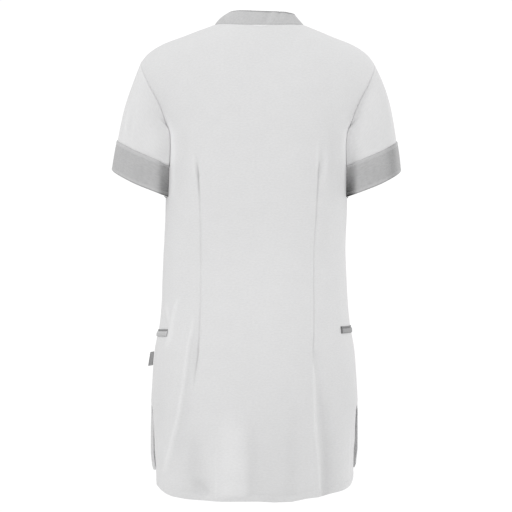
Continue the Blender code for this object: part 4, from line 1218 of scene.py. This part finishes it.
def band_seam():
    """The neck's seam line a seam's gap inside the panels' top edges, from the middle of the back to the V's
    point."""
    edges, ways = {}, {}
    for side in (BACK, FRONT):
        centre = panels[side]["bare"].shape[1] // 2
        near = slice(centre, centre + COLUMNS_NECK + 1)
        edges[side] = panels[side]["bare"][-1, near]
        ways[side] = panels[side]["normals"][-1, near]
    joined = []
    for part in (edges, ways):
        shoulder = (part[BACK][-1] + part[FRONT][-1]) / 2
        joined.append(np.concatenate([part[BACK][:-1], [shoulder], part[FRONT][-2::-1]]))
    line, normals = joined[0], unit(joined[1])
    mirrored = np.concatenate([[line[1] * [-1, 1, 1] + [2 * line[0, 0], 0, 0]], line, line[-1:]])
    along = unit(mirrored[2:] - mirrored[:-2])
    seam = line + BAND_GAP * unit(np.cross(normals, along))
    seam[-1, 2] += 2.5 * BAND_GAP
    passed = lengths(seam)
    stops = np.linspace(0, passed[-1], BAND_HALF + 1)
    both = np.concatenate([seam, normals], axis=1)
    both = np.stack([np.interp(stops, passed, both[:, k]) for k in range(6)], axis=1)
    return both[:, :3]


seam = band_seam()
free = BAND_EDGE.copy()
free[:, 0] += middle(free[:, 2])
inner_line = smooth_line(free, len(seam))
shares = np.concatenate([[0, 0.02, 0.05], np.linspace(0.09, 0.93, BAND_ROWS - 6), [0.965, 0.985, 1.0]])
bow = BAND_BOW * np.sin(math.pi * shares)[:, None, None]
right = np.array([seam + t * (inner_line - seam) for t in shares])
right = right + bow * grid_normals(right)
right[:, -1, 0] = middle(right[:, -1, 2]) + SEAM
left = right.copy()
left[..., 0] = 2 * middle(left[..., 2]) - left[..., 0]
flatter = bell((np.arange(len(seam)) - BAND_FLATTER_AT) / BAND_FLATTER_WIDE)
flatter = BAND_FLATTER * np.sin(math.pi * shares)[:, None] * flatter
right = right - flatter[..., None] * grid_normals(right)
points = np.concatenate([left[:, :0:-1], right], axis=1)
behind = smooth_step((20 - points[..., 1]) / 60) * shares[:, None]
points[..., 2] -= BAND_LEAN * behind * (points[..., 0] - middle(points[..., 2]))
normals = grid_normals(points)
from_left = grid_lengths(points, 1)
along = from_left - from_left[:, [BAND_HALF]]
up = grid_lengths(points, 0)
high = np.zeros(up.shape)
for line, *sizes in BAND_CREASES:
    high += crease(along, up, line, *sizes)
to_edge = up[-1:] - up
tone = fold_tone(high) * 1.1
# painted shade along the free edge
for tone_there, reach, way in BAND_EDGE_SHADES:
    tone = tone + tone_there * smooth_step((reach - to_edge) / way)
high = high * (1 - 0.75 * bell(to_edge / 3.5))
rim = BAND_RIM * bell((to_edge - BAND_RIM_IN) / BAND_RIM_WAY)
high += beside_edge(to_edge, BAND_ROLL, BAND_WAY) + beside_edge(up, BAND_SEAM_DEEP, BAND_WAY) + rim
outer = points + normals * high[..., None]
inner = (points + normals * (np.clip(high, -0.4, 0.6) * 0.6 - 1.4)[..., None])[::2, ::2]
flat = np.stack([along * 0.7 + up * 0.7, up * 0.7 - along * 0.7], axis=-1)
thing = wall("neck_band_cloth", outer, inner, flat, tone)
# the band's grey carries painted light
add_piece(thing, "neck_band", BAND_GREY_LIT)
hang(points, bent=True)

# ---- pockets ----


def hip_line(hand, reach, z, count, lift, top):
    """Points round one hip at height z, from an arc behind the side seam to an arc in front of it, evenly
    spaced and moved out by lift, or in if that is negative. Below top the arcs grow with the hip."""
    halves = []
    for side in (BACK, FRONT):
        turn = np.linspace(math.pi / 2, 0.15, 240)
        x = hand * half_width(z) * np.sin(turn)
        points, normals = cloth(side, x, np.full(x.shape, z), sewn=False)
        line = points + lift * normals
        along = lengths(line)
        stops = np.linspace(0, reach[side] + half_width(z) - half_width(top), count // 2 + 1)
        half = np.stack([np.interp(stops, along, line[:, k]) for k in range(3)], axis=1)
        half[:, 2] -= side * LIP_TILT[hand] * stops
        halves.append(half)
    return np.concatenate([halves[0][:0:-1], [(halves[0][0] + halves[1][0]) / 2], halves[1][1:]])


LIP_COLUMNS = 96
# Painted light at the ends of the left pocket's strips and painted shade at the right one's.
LIP_END_LIGHT_AND_SHADE = {LEFT: 0.08, RIGHT: -0.48}
LIP_TILT = {LEFT: 0.038, RIGHT: 0.0}  # how steeply a pocket rises to the back
LIP_INSIDE = 0.35  # how far off the panel the lips' inner faces lie, and how wide the mouth is
# Painted shade on the upper lips in the pocket mouth, and how much of each lip shows.
UPPER_LIP_SHADE, UPPER_LIP_SHOWS = {LEFT: -0.12, RIGHT: -0.2}, 3.2
LIP_REACH = {LEFT: {BACK: 62.5, FRONT: 92.0}, RIGHT: {BACK: 73.4, FRONT: 92.0}}
# the right lower lip takes the grey in painted shade
LIP_LOOKS = {LEFT: GREY, RIGHT: GREY_SHADED_LIP}
# Down a lip: the stops, how far its outer face stands off there, and the lower ones' tones, which are painted
# light and shade.
LIP_STOPS = [0.0, 0.06, 0.2, 0.4, 0.6, 0.8, 0.94, 0.98, 1.0]
UPPER_LIP_LIFTS = [0.8, 1.1, 1.2, 1.2, 1.1, 0.9, 0.7, 0.6, 0.5]
LOWER_LIP_LIFTS = [1.0, 1.9, 2.3, 2.4, 2.3, 2.0, 1.6, 1.2, 0.9]
LOWER_LIP_LIGHT_AND_SHADE = {
    LEFT: [0.2, 0.22, 0.2, 0.1, 0.07, 0.05, 0.0, -0.04, -0.04],
    RIGHT: [-0.1, -0.06, 0.04, 0.04, 0.02, 0.0, -0.15, -0.25, -0.25],
}
BAG_OUT, BAG_IN = -1.9, -2.7  # the bag's faces, inside the panel
BAG_STOPS = np.linspace(0, 1, 21)


def strip_piece(hand, word, look, top, drop, reach, stops, lifts, lift_in, tones):
    """A strip of cloth round a hip, down from top by drop, and its outer grid. stops are the shares of its drop
    at which its outer face's lifts and its tones are given; lift_in is its inner face's lift."""
    name = f"pocket_{WORDS[hand]}_{word}"
    mouth = POCKET_Z[hand]
    lifts_in = [lift_in] * len(stops)
    outer, inner = (np.array([hip_line(hand, reach, top - t * drop, LIP_COLUMNS, lift, mouth)
                              for t, lift in zip(stops, face)]) for face in (lifts, lifts_in))
    across = grid_lengths(outer, 1)
    flat = np.stack([across, -np.broadcast_to(np.array(stops)[:, None] * drop, across.shape)], axis=-1)
    ends = np.minimum(across, across[:, -1:] - across)
    # painted light and shade at the strips' ends and down the lips
    tone = LIP_END_LIGHT_AND_SHADE[hand] * smooth_step((2.2 - ends) / 1.0) + np.array(tones)[:, None]
    if hand == RIGHT:
        outer, inner, flat, tone = outer[::-1], inner[::-1], flat[::-1], tone[::-1]
    thing = wall(f"{name}_cloth", outer, inner[::2, ::2], flat, tone)
    return add_piece(thing, name, look), outer


for hand in (LEFT, RIGHT):
    mouth, reach = POCKET_Z[hand], LIP_REACH[hand]
    # the upper lips in painted shade
    upper, _ = strip_piece(hand, "upper_lip", GREY_MOUTH_SHADE, mouth + UPPER_LIP_SHOWS + LIP_INSIDE,
                           UPPER_LIP_SHOWS, reach, LIP_STOPS, UPPER_LIP_LIFTS, LIP_INSIDE,
                           [UPPER_LIP_SHADE[hand]] * len(LIP_STOPS))
    lower, _ = strip_piece(hand, "lower_lip", LIP_LOOKS[hand], mouth, LOWER_LIP, reach,
                           LIP_STOPS, LOWER_LIP_LIFTS, LIP_INSIDE, LOWER_LIP_LIGHT_AND_SHADE[hand])
    bag, points = strip_piece(hand, "bag", WHITE, mouth, BAG_DEPTH, BAG_REACH,
                              BAG_STOPS, [BAG_OUT] * len(BAG_STOPS), BAG_IN, [0.0] * len(BAG_STOPS))
    hang(points)
    panels[FRONT]["with"] += [upper, lower]

# ---- side tag ----

TAG_RIM_TONE = -0.42
tag_rows, tag_columns = 25, 17
z = TAG_TOP_Z - TAG_LENGTH * np.linspace(0, 1, tag_rows)[:, None] + np.zeros((1, tag_columns))
share = np.linspace(0, 1, tag_columns)[None, :]
near = middle(z) - half_width(z) - LAYER
down = np.linspace(0, 1, tag_rows)[:, None]
wide = TAG_WIDTH + TAG_SPREAD * down
x = near - wide * share
curl = 1.2 * share**2 * np.sin(math.pi * down * 0.9)
outer = np.stack([x, -0.45 - curl, z - 1.2 * share], axis=-1)
inner = np.stack([x, 0.45 - curl, z - 1.2 * share], axis=-1)
flat = np.stack([-x, z], axis=-1)
rim = np.minimum(wide * np.minimum(share, 1 - share), TAG_LENGTH * np.minimum(down, 1 - down) + 0.3)
tag = wall("side_tag_ribbon", outer, inner[::2, ::2], flat, TAG_RIM_TONE * smooth_step((1.5 - rim) / 0.8))
add_piece(tag, "side_tag", RIBBON)
panels[BACK]["with"].append(tag)

below_arms = int((ROW_STOPS <= ROWS_BELOW).sum())
for side in (BACK, FRONT):
    hang(panels[side]["bare"], body=below_arms)

# ---- stage, light and camera ----

FLOOR_Z, FLOOR_HALF = -1.28, 2.4
floor = bpy.data.meshes.new("floor")
corners = [(-1, -1), (1, -1), (1, 1), (-1, 1)]
floor.from_pydata([(a * FLOOR_HALF, b * FLOOR_HALF, FLOOR_Z) for a, b in corners], [], [(0, 1, 2, 3)])
floor_thing = put_in_scene("floor", floor)
pale = bpy.data.materials.new("pale floor")
pale.use_nodes = True
pale_shader = pale.node_tree.nodes["Principled BSDF"]
pale_shader.inputs["Base Color"].default_value = (0.86, 0.86, 0.86, 1)
pale_shader.inputs["Roughness"].default_value = 0.7
floor.materials.append(pale)

world = bpy.data.worlds.new("studio")
bpy.context.scene.world = world
world.use_nodes = True
tree = world.node_tree
ground = tree.nodes["Background"]
ground.inputs["Color"].default_value = (1, 1, 1, 1)
seen = Shade.node(tree, "ShaderNodeLightPath", None, None, "Is Camera Ray")
AMBIENT, AMBIENT_RISE, BACKDROP = 0.88, 0.07, 1.05
way = Shade.node(tree, "ShaderNodeTexCoord", None, None, "Generated")
height = Shade.node(tree, "ShaderNodeSeparateXYZ", None, {0: way}, "Z")
Shade.put(tree, ground.inputs["Strength"], seen * BACKDROP + (1 - seen) * (height * AMBIENT_RISE + AMBIENT))


def soft_light(name, where, aim, size, power):
    lamp = bpy.data.lights.new(name, "AREA")
    lamp.shape = "DISK"
    lamp.size = size
    lamp.energy = power
    thing = put_in_scene(name, lamp)
    thing.location = where
    thing.rotation_euler = (Vector(aim) - Vector(where)).to_track_quat("-Z", "Y").to_euler()


soft_light("key", (-1.75, -1.75, 1.25), (0, 0, -0.3), 0.9, 11)
soft_light("edge", (2.5, 0.9, 0.3), (0, 0, -0.4), 1.2, 7)

camera = bpy.data.cameras.new("camera")
camera.lens, camera.sensor_width = 128.57, 36.0
view = put_in_scene("camera", camera)
CAMERA_TURN, CAMERA_WAY, AIM_Z = math.radians(-2.5), 3.2, -0.4025
away = Vector((math.sin(CAMERA_TURN), -math.cos(CAMERA_TURN), 0))
view.location = Vector((0, 0, AIM_Z)) + away * CAMERA_WAY
view.rotation_euler = away.to_track_quat("Z", "Y").to_euler()
bpy.context.scene.camera = view
bpy.context.scene.view_settings.view_transform = "Standard"
